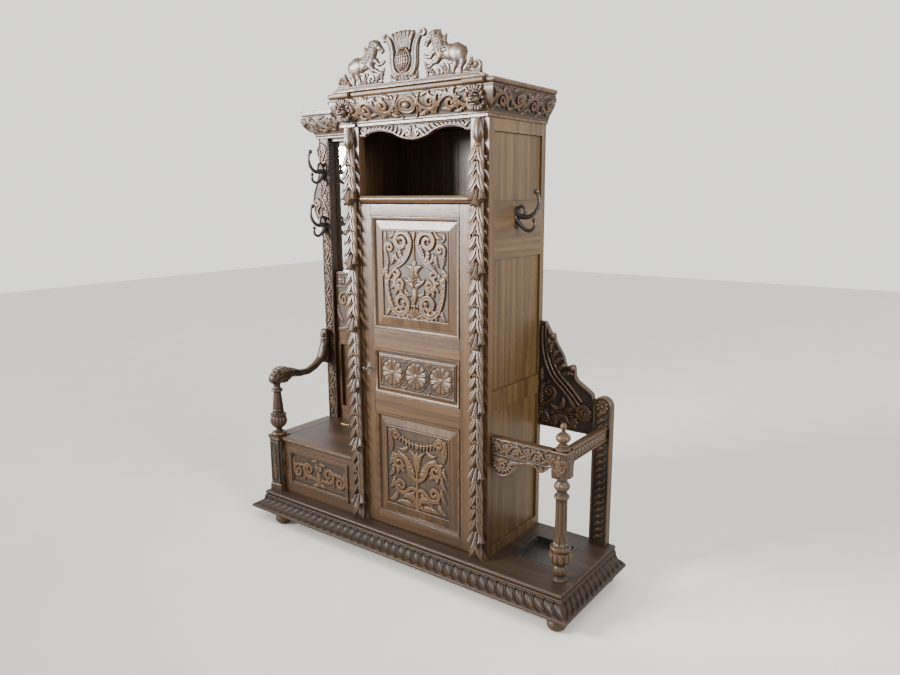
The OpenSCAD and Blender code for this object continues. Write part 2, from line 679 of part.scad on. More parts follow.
module left_cornice() color(oak_side) stand() {
    front = -bay_stile_t;
    left = bay_l;
    z = bed_z + bed_t;
    grow = 1.16;
    slab([left - bed_over, cab_x - bed_over], [front - bed_over, 0], [bed_z, z]);
    intersection() {
        run_x([left_cornice_x, cab_x], [for (p = frieze_section()) [p[0] < 0 ? 0 : front - p[0] * grow, p[1]]]);
        run_y([-left_cornice_front, 0], [for (p = frieze_section()) [p[0] < 0 ? cab_x : left - p[0] * 1.35, p[1]]]);
    }
    slab([left_cornice_x, cab_x - cornice_over], [-left_cornice_front, 0], [frieze_top, cornice_top_z]);
}

module ear_bracket() color(oak_side) stand()
    run_y([-46, -14], concat([[bay_l, 1530]],
        bend([bay_l - 30, 1545], [bay_l - 70, 1590], [bay_l - 76, 1650], 6),
        bend([bay_l - 70, 1700], [bay_l - 40, 1760], [bay_l - 20, 1820], 6),
        bend([bay_l - 14, 1870], [bay_l - 28, 1920], [bay_l - 26, 1945], 4),
        [[bay_l - 10, 1962], [bay_l, 1962]]));

// ---- Hooks ----

// Outline of a bar of width w that follows the points p
function band(p, w) =
    let (last = len(p) - 1,
        side = [for (i = [0:last]) let (d = p[min(i + 1, last)] - p[max(i - 1, 0)]) [-d[1], d[0]] * w / 2 / norm(d)])
    concat([for (i = [0:last]) p[i] + side[i]], [for (i = [last:-1:0]) p[i] - side[i]]);

// Double coat hook: plate, long upper arm, short lower arm, a knob on each tip
module coat_hook() {
    upper = [[3, 0], [22, 8], [52, 10], [80, 18], [100, 40], [108, 66], [100, 88], [86, 98]];
    lower = [[3, -5], [18, -22], [36, -40], [58, -46], [74, -38], [84, -20], [90, -6]];
    bar = 7;
    translate([0, -16, -48]) cube([4, 32, 96]);
    shape_y([-bar / 2, bar / 2]) {
        polygon(band(upper, bar));
        polygon(band(lower, bar - 1));
        translate(upper[len(upper) - 1]) circle(6.5);
        translate(lower[len(lower) - 1]) circle(5.5);
    }
}

module hook_right() color(iron) stand() translate([cab_r, -236, 1598]) coat_hook();
module hooks_left() color(iron) stand()
    for (z = [1812, 1532]) translate([bay_l + bay_stile_w / 2, -bay_stile_t, z]) rotate([0, 0, -90]) coat_hook();

// ---- Umbrella bay ----

module umbrella_rail_front() color(oak) stand() {
    x = [cab_r, column_x - block_w / 2];
    run_y([column_y - rail_t / 2, column_y + rail_t / 2], concat(
        [[x[0], rail_h], [x[0], 560]],
        bend([x[0] + 8, 556], [x[0] + 60, 510], [x[0] + 104, 560], 6),
        bend([x[0] + 130, 592], [x[0] + 165, 616], [x[0] + 206, 618], 5),
        bend([x[0] + 222, 606], [x[0] + 244, 584], [x[0] + 264, 604], 5),
        [[x[0] + 276, 622], [x[1], 628], [x[1], rail_h]]));
    slab([x[0], x[1]], [column_y - rail_t / 2 - 5, column_y - rail_t / 2], [rail_h - 10, rail_h]);
    slab([x[0], x[1]], [column_y - rail_t / 2 - 5, column_y - rail_t / 2], [rail_h - 80, rail_h - 68]);
}

module umbrella_rail_side() color(oak) stand()
    slab([column_x - 14, column_x + 20], [column_y + block_w / 2, -back_post_t], [rail_h - 62, rail_h]);

module corner_column() color(oak_warm) stand() translate([column_x, column_y, 0]) {
    turned(concat([[0, deck_z], [30, deck_z], [31, deck_z + 8], [24, deck_z + 14], [24, deck_z + 28],
        [28, deck_z + 38], [28, deck_z + 58], [20, deck_z + 68]],
        bend([24, deck_z + 72], [54, deck_z + 92], [42, deck_z + 128], 6),
        [[30, deck_z + 132], [42, deck_z + 138], [42, deck_z + 152], [33, deck_z + 158], [26, deck_z + 182],
        [24, deck_z + 204], [23, deck_z + 352], [27, deck_z + 358], [30, deck_z + 368], [22, deck_z + 376],
        [20, deck_z + 386], [30, deck_z + 400], [30, deck_z + 414], [20, deck_z + 430], [24, 591], [0, 591]]));
    slab([-block_w / 2, block_w / 2], [-block_w / 2, block_w / 2], [591, rail_h + 5]);
    translate([0, 0, rail_h + 5]) turned(concat([[0, 0], [31, 0], [31, 8], [22, 14], [16, 24]],
        bend([18, 28], [38, 48], [18, 76], 6),
        [[9, 80], [8, 86], [12, 94], [12, 102], [6, 110], [0, 111]]));
}

module back_post_right() color(oak_dark) stand()
    shape_y([-back_post_t, 0]) union() {
        mid = (back_post_x[0] + back_post_x[1]) / 2;
        translate([back_post_x[0], deck_z]) square([back_post_x[1] - back_post_x[0], 640]);
        translate([mid, deck_z + 640]) circle((back_post_x[1] - back_post_x[0]) / 2);
    }

module back_panel_right() color(oak_dark) stand()
    run_y([-28, -2], concat(
        [[cab_r, 645], [back_post_x[0], 645], [back_post_x[0], 806]],
        bend([1700, 834], [1660, 862], [1624, 884], 5),
        [[1608, 905], [1604, 924]],
        [for (a = [-40:30:170]) [1596 + 15 * cos(a), 936 + 15 * sin(a)]],
        [[1566, 940], [1552, 985], [1528, 1020], [1508, 1052]],
        [for (a = [-40:30:110]) [1494 + 14 * cos(a), 1070 + 14 * sin(a)]],
        [[1474, 1108], [1458, 1132], [cab_r, 1134]]));

// Folded black metal tray that lies in the deck's opening on its rim
module drip_tray() color(iron) stand() {
    rim = 7;
    slack = 1;
    depth = 34;
    wall = 1.5;
    difference() {
        union() {
            slab([pan_x[0] + slack, pan_x[1] - slack], [pan_y[0] + slack, pan_y[1] - slack], [deck_z - depth, deck_z + 0.5]);
            slab([pan_x[0] - rim, pan_x[1] + rim], [pan_y[0] - rim, pan_y[1] + rim], [deck_z + 0.5, deck_z + 2]);
        }
        slab([pan_x[0] + slack + wall, pan_x[1] - slack - wall], [pan_y[0] + slack + wall, pan_y[1] - slack - wall],
            [deck_z - depth + wall, deck_z + 3]);
    }
}

bun_feet();
plinth_mouldings();
plinth_bearers();
deck_board();
front_stiles();
garland_left();
garland_right();
side_frame_left();
side_frame_right();
side_panels_left();
side_panels_right();
hook_board_right();
cabinet_back_boards();
niche_shelf();
apron();
bed_moulding();
frieze_front();
frieze_sides();
cornice_top();
cornice_masks();
crest_cartouche();
crest_beast_left();
crest_beast_right();
crest_scrolls();
door_frame();
door_mouldings();
door_panel_top();
door_panel_middle();
door_panel_bottom();
door_hinge_leaves();
post_hinge_leaves();
lock_case();
escutcheon();
lock_bolt();
key();
seat_post();
seat_front_frame();
seat_front_panel();
seat_side_panel();
seat_surround();
seat_lid();
lid_hinge_leaves();
surround_hinge_leaves();
arm();
arm_baluster();
back_stile_left();
back_bay_frame();
back_carved_panel();
back_plain_panel();
mirror_glass();
left_cornice();
ear_bracket();
hooks_left();
hook_right();
umbrella_rail_front();
umbrella_rail_side();
corner_column();
back_post_right();
back_panel_right();
drip_tray();
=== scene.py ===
"""Looks of the carved oak hall stand, built round its CAD frame. Lengths are in millimetres until a mesh is made."""
import json
import math

import bpy
import numpy as np
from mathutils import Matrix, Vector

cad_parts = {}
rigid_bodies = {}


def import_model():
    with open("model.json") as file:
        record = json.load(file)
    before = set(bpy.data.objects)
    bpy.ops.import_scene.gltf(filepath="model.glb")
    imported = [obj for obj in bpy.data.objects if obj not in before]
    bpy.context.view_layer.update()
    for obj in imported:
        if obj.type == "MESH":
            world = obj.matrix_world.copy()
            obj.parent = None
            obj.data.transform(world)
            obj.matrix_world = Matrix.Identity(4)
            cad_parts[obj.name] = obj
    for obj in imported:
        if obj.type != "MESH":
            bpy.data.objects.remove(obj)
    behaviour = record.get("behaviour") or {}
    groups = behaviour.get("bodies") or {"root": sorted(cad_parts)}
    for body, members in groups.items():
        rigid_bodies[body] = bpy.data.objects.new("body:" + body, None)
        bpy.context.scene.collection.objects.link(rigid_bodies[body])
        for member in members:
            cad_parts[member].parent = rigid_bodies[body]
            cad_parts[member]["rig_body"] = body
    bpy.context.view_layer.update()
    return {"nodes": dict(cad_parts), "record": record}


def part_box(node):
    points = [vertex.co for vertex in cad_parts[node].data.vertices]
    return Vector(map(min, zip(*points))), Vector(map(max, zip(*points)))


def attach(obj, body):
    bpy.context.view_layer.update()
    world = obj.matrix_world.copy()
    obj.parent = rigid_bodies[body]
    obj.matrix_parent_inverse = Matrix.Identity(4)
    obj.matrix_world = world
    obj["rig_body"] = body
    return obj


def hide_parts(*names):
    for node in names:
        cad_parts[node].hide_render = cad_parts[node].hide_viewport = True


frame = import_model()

import openvdb
from mathutils import Matrix

MM = 0.001
TINY = 1e-9  # keeps a division by a length of 0 from failing
LONG_EDGE = 9  # edges as long as this don't count as part of a carving
LIFT_SHARE = 0.4  # how much a carving's height adds to its wear and painted shade value: high parts lighter, the ground darker
NODES = frame["nodes"]
BODY_OF = {node: obj["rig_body"] for node, obj in NODES.items()}
SLOT_OF = {part["node"]: part["material_slot"] for part in frame["record"]["subparts"]}


def box(node):
    """Lowest and highest corner of a CAD node in millimetres."""
    low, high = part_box(node)
    return np.array(low) / MM, np.array(high) / MM


# ---- Curves ----

def bezier(a, b, c, count=14):
    """A curve from a to c that b pulls towards itself."""
    s = np.linspace(0, 1, count)[:, None]
    return (1 - s) ** 2 * np.array(a, float) + 2 * s * (1 - s) * np.array(b, float) + s * s * np.array(c, float)


def arc(centre, radius, start, end, count=10):
    """Points on a circle between two angles in degrees."""
    a = np.radians(np.linspace(start, end, count))
    return np.array(centre, float) + radius * np.stack([np.cos(a), np.sin(a)], -1)


def spiral(centre, outer, inner, start, turns, count=44):
    """A coil from the outer to the inner radius. start is in degrees."""
    s = np.linspace(0, 1, count)
    r = outer * (inner / outer) ** s
    a = math.radians(start) + 2 * math.pi * turns * s
    return np.array(centre, float) + np.stack([r * np.cos(a), r * np.sin(a)], -1)


def volute(start, centre, radius, angle, turns, lead):
    """A stem from start that runs smoothly into a coil."""
    coil = spiral(centre, radius, radius * 0.26, angle, turns)
    tangent = coil[1] - coil[0]
    tangent /= np.linalg.norm(tangent)
    return np.concatenate([bezier(start, coil[0] - tangent * lead, coil[0])[:-1], coil])


def resample(points, distances):
    """Points at the given distances along a polyline."""
    points = np.array(points, float)
    steps = np.r_[0, np.cumsum(np.linalg.norm(np.diff(points, axis=0), axis=1))]
    return np.stack([np.interp(distances, steps, points[:, k]) for k in range(points.shape[1])], -1)


def length_of(points):
    """A polyline's length."""
    return float(np.linalg.norm(np.diff(np.array(points, float), axis=0), axis=1).sum())


def spread(values, count):
    """One value, or several spread evenly, as count values."""
    return np.interp(np.linspace(0, 1, count), np.linspace(0, 1, np.size(values)), np.ravel(values))


def evenly(points, count):
    """A polyline as count points at equal distances."""
    return resample(points, np.linspace(0, length_of(points), count))


def plain(points):
    """Points as they are."""
    return np.array(points, float)


def mirrored(points):
    """Points mirrored in their first coordinate."""
    return np.array(points, float) * [-1, 1]


# ---- Meshes ----

def facing_out(points, quads):
    """True if the faces of a closed mesh point outwards."""
    a, b, c, d = (points[quads[:, k]] for k in range(4))
    return (np.einsum("ij,ij->i", a, np.cross(b, c)) + np.einsum("ij,ij->i", a, np.cross(c, d))).sum() > 0


def smoothed(points, edges, rounds):
    """Points moved towards the mean of their neighbours, again and again."""
    count = len(points)
    ends, others = np.r_[edges[:, 0], edges[:, 1]], np.r_[edges[:, 1], edges[:, 0]]
    valence = np.bincount(ends, minlength=count)[:, None]
    for _ in range(rounds):
        total = np.stack([np.bincount(ends, points[others, k], count) for k in range(3)], -1)
        points = np.where(valence > 0, 0.35 * points + 0.65 * total / np.maximum(valence, 1), points)
    return points


def add_wear_and_shade(mesh, points, depth, rounds, lift):
    """Stores how far each point stands out of its smoothed surroundings: 0 in recesses, 1 on high spots and 0.5
    beside long edges. The material rubs the high values lighter and paints shade into the low ones. lift is 0 on a
    carving's ground, 1 on its highest parts and 0.5 elsewhere. Returns whether there are long edges, as on a plain
    board."""
    edges = np.empty(len(mesh.edges) * 2, np.int32)
    mesh.edges.foreach_get("vertices", edges)
    normals = np.empty(len(points) * 3, np.float32)
    mesh.vertices.foreach_get("normal", normals)
    edges = edges.reshape(-1, 2)
    short = np.linalg.norm(points[edges[:, 0]] - points[edges[:, 1]], axis=1) < LONG_EDGE
    proud = np.einsum("ij,ij->i", points - smoothed(points, edges[short], rounds), normals.reshape(-1, 3))
    values = np.clip(0.5 + proud / (2 * depth) + LIFT_SHARE * (lift - 0.5), 0, 1).astype(np.float32)
    if not short.all():
        values[edges[~short].ravel()] = 0.5
    mesh.attributes.new("wear_and_shade", "FLOAT", "POINT").data.foreach_set("value", values)
    return not short.all()


def grain_of(points, axis, seed):
    """The wood's own coordinates: along the grain first, shifted so that no two boards match."""
    return np.roll(points, -axis, axis=1) * MM + np.random.default_rng(seed).uniform(-9, 9, 3)


def piece(name, solid, node, grain=2, slot=None, crease=50, depth=1.2, rounds=24, hide=True):
    """A closed mesh from (points, quads, caps) in millimetres that rides with its CAD node's body and stands for
    the node. grain is the axis that the wood's fibres follow, or the grain's coordinates of every point."""
    points, quads, caps, lift = (*solid, 0.5)[:4]
    points = np.asarray(points, float)
    if np.ndim(grain) == 0:
        grain = grain_of(points, grain, sum(map(ord, name)))
    quads = np.asarray(quads, np.int64)
    if not facing_out(points, quads):
        quads = quads[:, ::-1]
        caps = [cap[::-1] for cap in caps]
    corners = np.concatenate([quads.ravel(), *[np.asarray(cap) for cap in caps]]).astype(np.int32)
    starts = np.r_[np.arange(len(quads)) * 4, len(quads) * 4 + np.cumsum([0] + [len(c) for c in caps])[:-1]]
    starts = starts[:len(quads) + len(caps)].astype(np.int32)
    mesh = bpy.data.meshes.new(name)
    mesh.vertices.add(len(points))
    mesh.vertices.foreach_set("co", (points * MM).astype(np.float32).ravel())
    mesh.loops.add(len(corners))
    mesh.loops.foreach_set("vertex_index", corners)
    mesh.polygons.add(len(starts))
    mesh.polygons.foreach_set("loop_start", starts)
    mesh.update(calc_edges=True)
    mesh.polygons.foreach_set("use_smooth", np.ones(len(starts), bool))
    mesh.set_sharp_from_angle(angle=math.radians(crease))
    flat_faces = add_wear_and_shade(mesh, points, depth, rounds, lift)
    mesh.attributes.new("grain", "FLOAT_VECTOR", "POINT").data.foreach_set("vector", grain.astype(np.float32).ravel())
    obj = bpy.data.objects.new(name, mesh)
    bpy.context.scene.collection.objects.link(obj)
    obj.data.materials.append(MATERIALS[slot or SLOT_OF[node]])
    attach(obj, BODY_OF[node])
    if hide:
        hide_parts(node)
    if flat_faces:
        weighted = obj.modifiers.new("flat", "WEIGHTED_NORMAL")
        weighted.keep_sharp = True
    return obj


def board(low, high, axis, ease=1.4):
    """A board with eased edges whose grain runs along axis."""
    low, high = np.array(low, float), np.array(high, float)
    a, b = [k for k in range(3) if k != axis]
    rings = []
    for at, inset in ((low[axis], ease), (low[axis] + ease, 0), (high[axis] - ease, 0), (high[axis], ease)):
        x0, x1, y0, y1 = low[a] + inset, high[a] - inset, low[b] + inset, high[b] - inset
        e = ease
        ring = [(x0 + e, y0), (x1 - e, y0), (x1, y0 + e), (x1, y1 - e),
                (x1 - e, y1), (x0 + e, y1), (x0, y1 - e), (x0, y0 + e)]
        points = np.empty((8, 3))
        points[:, axis], points[:, [a, b]] = at, ring
        rings.append(points)
    return loft(np.array(rings))


def boards(name, node, parts, extra=(), **options):
    """One piece of several boards, each given as (low, high, axis), and extra (solid, axis) pieces."""
    solids = [(board(low, high, axis), axis) for low, high, axis in parts] + list(extra)
    grain = np.concatenate([grain_of(s[0], axis, len(name) + 31 * k) for k, (s, axis) in enumerate(solids)])
    return piece(name, joined([s for s, _ in solids]), node, grain, **options)


def picture_frame(low, high, section, plane, out):
    """A mitred frame inside the rectangle low to high (x, z). section is [inwards, outwards] points; plane is the
    coordinate of outwards 0, and out the direction of outwards along y or x."""
    section = np.array(section, float)
    axis = int(np.argmax(np.abs(out)))
    other = 1 - axis
    rings = []
    for sx, sz in ((0, 0), (1, 0), (1, 1), (0, 1)):
        ring = np.empty((len(section), 3))
        ring[:, other] = (high[0] - section[:, 0]) if sx else (low[0] + section[:, 0])
        ring[:, 2] = (high[1] - section[:, 0]) if sz else (low[1] + section[:, 0])
        ring[:, axis] = plane + out[axis] * section[:, 1]
        rings.append(ring)
    return loft(np.array(rings), loop=True)


def loft(rings, loop=False):
    """Points, quads and end caps of a solid through closed rings, given as an array (rings, points, 3)."""
    n, m = rings.shape[:2]
    i, j = np.meshgrid(np.arange(n if loop else n - 1), np.arange(m), indexing="ij")
    k, l = (j + 1) % m, (i + 1) % n
    quads = np.stack([i * m + j, i * m + k, l * m + k, l * m + j], -1).reshape(-1, 4)
    caps = [] if loop else [list(range(m))[::-1], list(range((n - 1) * m, n * m))]
    return rings.reshape(-1, 3), quads, caps


def joined(parts):
    """One solid made of several."""
    points, quads, caps, lift, start = [], [], [], [], 0
    for part in parts:
        points.append(np.asarray(part[0], float))
        quads.append(np.asarray(part[1], np.int64) + start)
        caps += [np.asarray(cap) + start for cap in part[2]]
        lift.append(np.broadcast_to((*part, 0.5)[3], len(part[0])))
        start += len(part[0])
    return np.concatenate(points), np.concatenate(quads), caps, np.concatenate(lift)


def lift_of(relief, extra):
    """A carving's height from 0 to 1 at every point, with extra points per ring that aren't carved."""
    top = max(np.percentile(relief.h, 97), 1e-6)
    plain = np.full((len(relief.u), extra), 0.5)
    return np.concatenate([np.clip(relief.h / top, 0, 1), plain], 1).ravel() if relief.h.any() else 0.5


def turned(profile, centre=(0, 0, 0), around=72, shape=None, spacing=2.5):
    """A turned solid from [radius, height] points. shape(height, angle) scales the radius, for flutes and lobes."""
    profile = np.array(profile, float)
    steps = np.r_[0, np.cumsum(np.linalg.norm(np.diff(profile, axis=0), axis=1))]
    steps = np.unique(np.r_[steps, np.arange(0, steps[-1], spacing)])
    rows = resample(profile, steps[np.r_[True, np.diff(steps) > 0.2]])
    a = np.linspace(0, 2 * math.pi, around, endpoint=False)
    radius = np.maximum(rows[:, :1], 0.05) * np.ones(around)
    height = rows[:, 1:] * np.ones(around)
    if shape:
        radius = radius * shape(height, a[None, :] * np.ones((len(rows), 1)))
    rings = np.stack([radius * np.cos(a), radius * np.sin(a), height], -1) + np.array(centre, float)
    return loft(rings)


# ---- Carving in relief ----

def rounded(q, s):
    """A half round. Each form gives the height at q, -1 to 1 across a band, and s, 0 to 1 along it."""
    return np.sqrt(np.clip(1 - q * q, 0, 1))


def channel(q, s):
    """A band with a hollow between two rims."""
    return np.clip(1 - np.abs(q) ** 5, 0, 1) ** 0.5 * (1 - 0.42 * np.exp(-(q / 0.42) ** 2))


def rib(q, s):
    """A sharp ridge."""
    return (1 - np.abs(q)) ** 0.8


def leafy(lobes):
    """A leaf's section: a grooved midrib, and veins that fan towards the edge."""
    def form(q, s):
        fold = np.clip(1 - np.abs(q) ** 2.4, 0, 1) ** 0.5
        veins = 0.8 + 0.2 * np.cos(2 * math.pi * (lobes * s - 0.85 * np.abs(q)))
        return fold * veins * (1 - 0.45 * np.exp(-(q / 0.13) ** 2))
    return form


def leaf_spine(base, tip, bow, count):
    """A leaf's bent middle line: the places of its points from 0 to 1, and the points."""
    base, tip = np.array(base, float), np.array(tip, float)
    axis = tip - base
    across = np.array([-axis[1], axis[0]])
    s = np.linspace(0, 1, count)
    return s, base + s[:, None] * axis + (4 * s * (1 - s) * bow)[:, None] * across


class Relief:
    """A carved height field over u and v. Every shape is laid over the others by maximum."""

    def __init__(self, u, v, base=None):
        self.u = np.asarray(u, float)
        self.v = np.asarray(v, float) * np.ones((len(self.u), 1))
        self.base = self.v[0, 0] if base is None else base
        self.h = np.zeros(self.v.shape)

    def lay(self, low, high, field):
        """field(U, V) gives the height inside the strip low to high of u."""
        i, j = np.searchsorted(self.u, [low, high])
        if j > i:
            self.h[i:j] = np.maximum(self.h[i:j], field(self.u[i:j, None] + 0 * self.v[i:j], self.v[i:j]))

    def stroke(self, points, width, height, form=rounded):
        """A band along points. width and height may change along it."""
        points = np.asarray(points, float)
        last = len(points) - 1
        width = spread(width, last + 1)
        height = spread(height, last + 1)
        for k in range(last):
            a, d = points[k], points[k + 1] - points[k]
            reach = max(width[k], width[k + 1])
            i, j = np.searchsorted(self.u, [min(a[0], a[0] + d[0]) - reach, max(a[0], a[0] + d[0]) + reach])
            if j <= i:
                continue
            v = self.v[i:j]
            foot, top = min(a[1], a[1] + d[1]) - reach, max(a[1], a[1] + d[1]) + reach
            rows = np.flatnonzero(np.any((v > foot) & (v < top), axis=0))
            if not len(rows):
                continue
            cols = slice(rows[0], rows[-1] + 1)
            u, v = self.u[i:j, None] - a[0], v[:, cols] - a[1]
            t = np.clip((u * d[0] + v * d[1]) / max(d @ d, TINY), 0, 1)
            du, dv = u - t * d[0], v - t * d[1]
            q = np.hypot(du, dv) / (width[k] + (width[k + 1] - width[k]) * t)
            side = np.where(d[0] * dv - d[1] * du < 0, -1, 1)
            h = (height[k] + (height[k + 1] - height[k]) * t) * form(np.minimum(q, 1) * side, (k + t) / last)
            self.h[i:j, cols] = np.maximum(self.h[i:j, cols], np.where(q < 1, h, 0))

    def scroll(self, path, width, height, eye=1.0, form=channel):
        """A tapering band whose inner end is a round eye."""
        self.stroke(path, width * np.array([0.75, 1, 0.9, 0.55]), height * np.array([0.8, 1, 0.95, 0.9]), form)
        self.dome(path[-1], width * 0.95 * eye, height * 1.15)

    def dome(self, centre, radius, height):
        """A half ball."""
        self.lay(centre[0] - radius, centre[0] + radius, lambda u, v: height * np.sqrt(
            np.clip(1 - ((u - centre[0]) ** 2 + (v - centre[1]) ** 2) / radius ** 2, 0, 1)))

    def leaf(self, base, tip, width, height, bow=0.0, lobes=4):
        """An acanthus leaf whose edge has lobes. bow bends it sideways, as a part of its length."""
        s, spine = leaf_spine(base, tip, bow, 6 * lobes + 1)
        notched = 1 - 0.3 * np.abs(np.cos(math.pi * lobes * s)) ** 3
        outline = np.sin(math.pi * np.clip(s, 0.06, 0.95) ** 0.7) ** 0.75 * notched
        rise = 0.7 + 0.3 * np.sin(math.pi * s) + 0.15 * s
        self.stroke(spine, width * np.maximum(outline, 0.08), height * rise, leafy(lobes))

    def leaves(self, rows, m=plain, hand=1):
        """Leaves from rows of base u, base v, tip u, tip v, width, height, bow and lobes, placed by m. hand turns
        their bows."""
        for u0, v0, u1, v1, width, height, bow, lobes in rows:
            self.leaf(m((u0, v0)), m((u1, v1)), width, height, bow * hand, lobes)

    def fringe(self, path, count, length, width, height, side=1, lean=40, first=0.08, last=0.8, bow=0.15):
        """Leaves that grow from one side of a path and lean along it."""
        path = np.asarray(path, float)
        total = length_of(path)
        for k in range(count):
            s = first + (last - first) * k / max(count - 1, 1)
            a, b = resample(path, [s * total, min(s + 0.02, 1) * total])
            t = (b - a) / (np.linalg.norm(b - a) + TINY)
            angle = side * math.radians(lean)
            cos, sin = math.cos(angle), math.sin(angle)
            way = np.array([t[0] * cos - t[1] * sin, t[0] * sin + t[1] * cos])
            reach = length * (0.75 + 0.25 * math.sin(math.pi * (k + 0.5) / count))
            self.leaf(a, a + way * reach, width, height, -side * bow, 3)

    def rosette(self, centre, radius, petals, height, turn=0.0, eye=0.2):
        """A round flower with a boss in its middle."""
        def field(u, v):
            r = np.hypot(u - centre[0], v - centre[1]) / radius
            a = np.arctan2(v - centre[1], u - centre[0]) + turn
            lobe = np.abs(np.cos(petals * a / 2))
            inside = np.clip((0.86 + 0.14 * lobe - r) / 0.14, 0, 1) ** 0.5
            petal = (0.3 + 0.7 * lobe ** 0.7) * (0.55 + 0.45 * np.clip(r, 0, 1)) * inside
            petal *= 1 - 0.35 * np.exp(-((1 - lobe) / 0.02)) * (r > eye)
            boss = 1.1 * np.sqrt(np.clip(1 - (r / eye) ** 2, 0, 1))
            return height * np.maximum(petal, boss)
        self.lay(centre[0] - radius, centre[0] + radius, field)

    def shell(self, base, radius, height, ribs=7, spread=160, turn=90):
        """A fan of ribs that open from a base point."""
        def field(u, v):
            r = np.hypot(u - base[0], v - base[1]) / radius
            a = (np.degrees(np.arctan2(v - base[1], u - base[0])) - turn + 180) % 360 - 180
            k = a / spread * ribs
            lobe = np.abs(np.cos(math.pi * k)) if ribs % 2 else np.abs(np.sin(math.pi * k))
            inside = (np.abs(a) < spread / 2) & (r < 0.88 + 0.12 * lobe)
            return np.where(inside, height * (0.45 + 0.55 * lobe ** 0.6) * (0.5 + 0.5 * r), 0)
        self.lay(base[0] - radius, base[0] + radius, field)

    def frame_bead(self, low, high, width, height):
        """A bead round a rectangle."""
        corners = [low, (high[0], low[1]), high, (low[0], high[1]), low]
        for a, b in zip(corners, corners[1:]):
            self.stroke([a, b], width, height)

    def pair(self, draw):
        """Calls draw(m, hand) with the points as they are and hand 1, then mirrored in u and hand -1."""
        draw(plain, 1)
        draw(mirrored, -1)


def spaced(low, high, step):
    """Evenly spaced numbers from low to high, about step apart."""
    return np.linspace(low, high, max(int(round((high - low) / step)), 1) + 1)


def field_grid(low, high, border, step, edge=4):
    """Grid lines that are close together in the field and wide apart in the border."""
    a, b = low + border, high - border
    return np.unique(np.r_[spaced(low, a, edge), spaced(a, b, step), spaced(b, high, edge)])


def carved(relief, face, back, origin, along, out, corner=(0, 0)):
    """A straight run with a carved face, as (points, quads, caps).

    face and back are [outwards, up] points that close a section; the relief's v is the distance along face, from
    its base.
    corner is 1 at an end with an outer mitre, 0 at a square end and -1 at an inner mitre."""
    face = np.asarray(face, float)
    along, out, up = np.array(along, float), np.array(out, float), np.array([0, 0, 1.0])
    total = length_of(face)
    dist = np.clip(relief.v - relief.base, 0, total)

    def on_face(shift):
        return np.moveaxis(resample(face, np.clip(dist + shift, 0, total).ravel()).reshape(*dist.shape, 2), 2, 0)
    (o, z), (o1, z1), (o2, z2) = on_face(0), on_face(-0.5), on_face(0.5)
    to, tz = o2 - o1, z2 - z1
    norm = np.hypot(to, tz) + TINY
    o, z = o + relief.h * tz / norm, z - relief.h * to / norm
    back = np.asarray(back, float)
    n = len(relief.u)
    o = np.concatenate([o, np.tile(back[:, 0], (n, 1))], 1)
    z = np.concatenate([z, np.tile(back[:, 1], (n, 1))], 1)
    low, high = relief.u[0], relief.u[-1]
    s = ((relief.u - low) / (high - low))[:, None]
    x = (low - corner[0] * o) + s * (high - low + (corner[0] + corner[1]) * o)
    rings = np.array(origin, float) + x[..., None] * along + o[..., None] * out + z[..., None] * up
    return *loft(rings), lift_of(relief, len(back))


X, Y, Z = np.eye(3)


# ---- Materials ----

class Nodes:
    """A material's node tree, with short ways to add to it."""

    def __init__(self, name):
        self.material = bpy.data.materials.new(name)
        self.material.use_nodes = True
        self.tree = self.material.node_tree
        self.shader = self.tree.nodes["Principled BSDF"]

    def add(self, kind, inputs=(), **settings):
        node = self.tree.nodes.new(kind)
        for key, value in settings.items():
            setattr(node, key, value)
        for key, value in dict(inputs).items():
            self.put(node.inputs[key], value)
        return node

    def put(self, socket, value):
        if isinstance(value, bpy.types.NodeSocket):
            self.tree.links.new(value, socket)
        else:
            socket.default_value = value

    def set(self, **values):
        for key, value in values.items():
            self.put(self.shader.inputs[key.replace("_", " ")], value)

    def attribute(self, name, output="Fac"):
        return self.add("ShaderNodeAttribute", attribute_name=name).outputs[output]

    def scaled(self, vector, scale):
        return self.add("ShaderNodeMapping", {"Vector": vector, "Scale": scale}).outputs["Vector"]

    def noise(self, vector, scale=1.0, detail=3.0, roughness=0.5, distortion=0.0):
        return self.add("ShaderNodeTexNoise", {"Vector": vector, "Scale": scale, "Detail": detail,
                                               "Roughness": roughness,
                                               "Distortion": distortion}).outputs["Fac"]

    def smooth(self, value, low, high, to_low=0.0, to_high=1.0):
        return self.add("ShaderNodeMapRange", {"Value": value, "From Min": low, "From Max": high, "To Min": to_low,
                                               "To Max": to_high}, interpolation_type="SMOOTHSTEP").outputs["Result"]

    def math(self, operation, a, b=0.0):
        return self.add("ShaderNodeMath", {0: a, 1: b}, operation=operation).outputs[0]

    def mix(self, fac, a, b, blend="MIX"):
        node = self.add("ShaderNodeMix", data_type="RGBA", blend_type=blend)
        for socket, value in ((node.inputs[0], fac), (node.inputs[6], a), (node.inputs[7], b)):
            self.put(socket, (*value, 1) if isinstance(value, tuple) else value)
        return node.outputs[2]

    def bump(self, height, distance, strength=1.0):
        node = self.add("ShaderNodeBump", {"Height": height, "Distance": distance, "Strength": strength})
        self.set(Normal=node.outputs["Normal"])


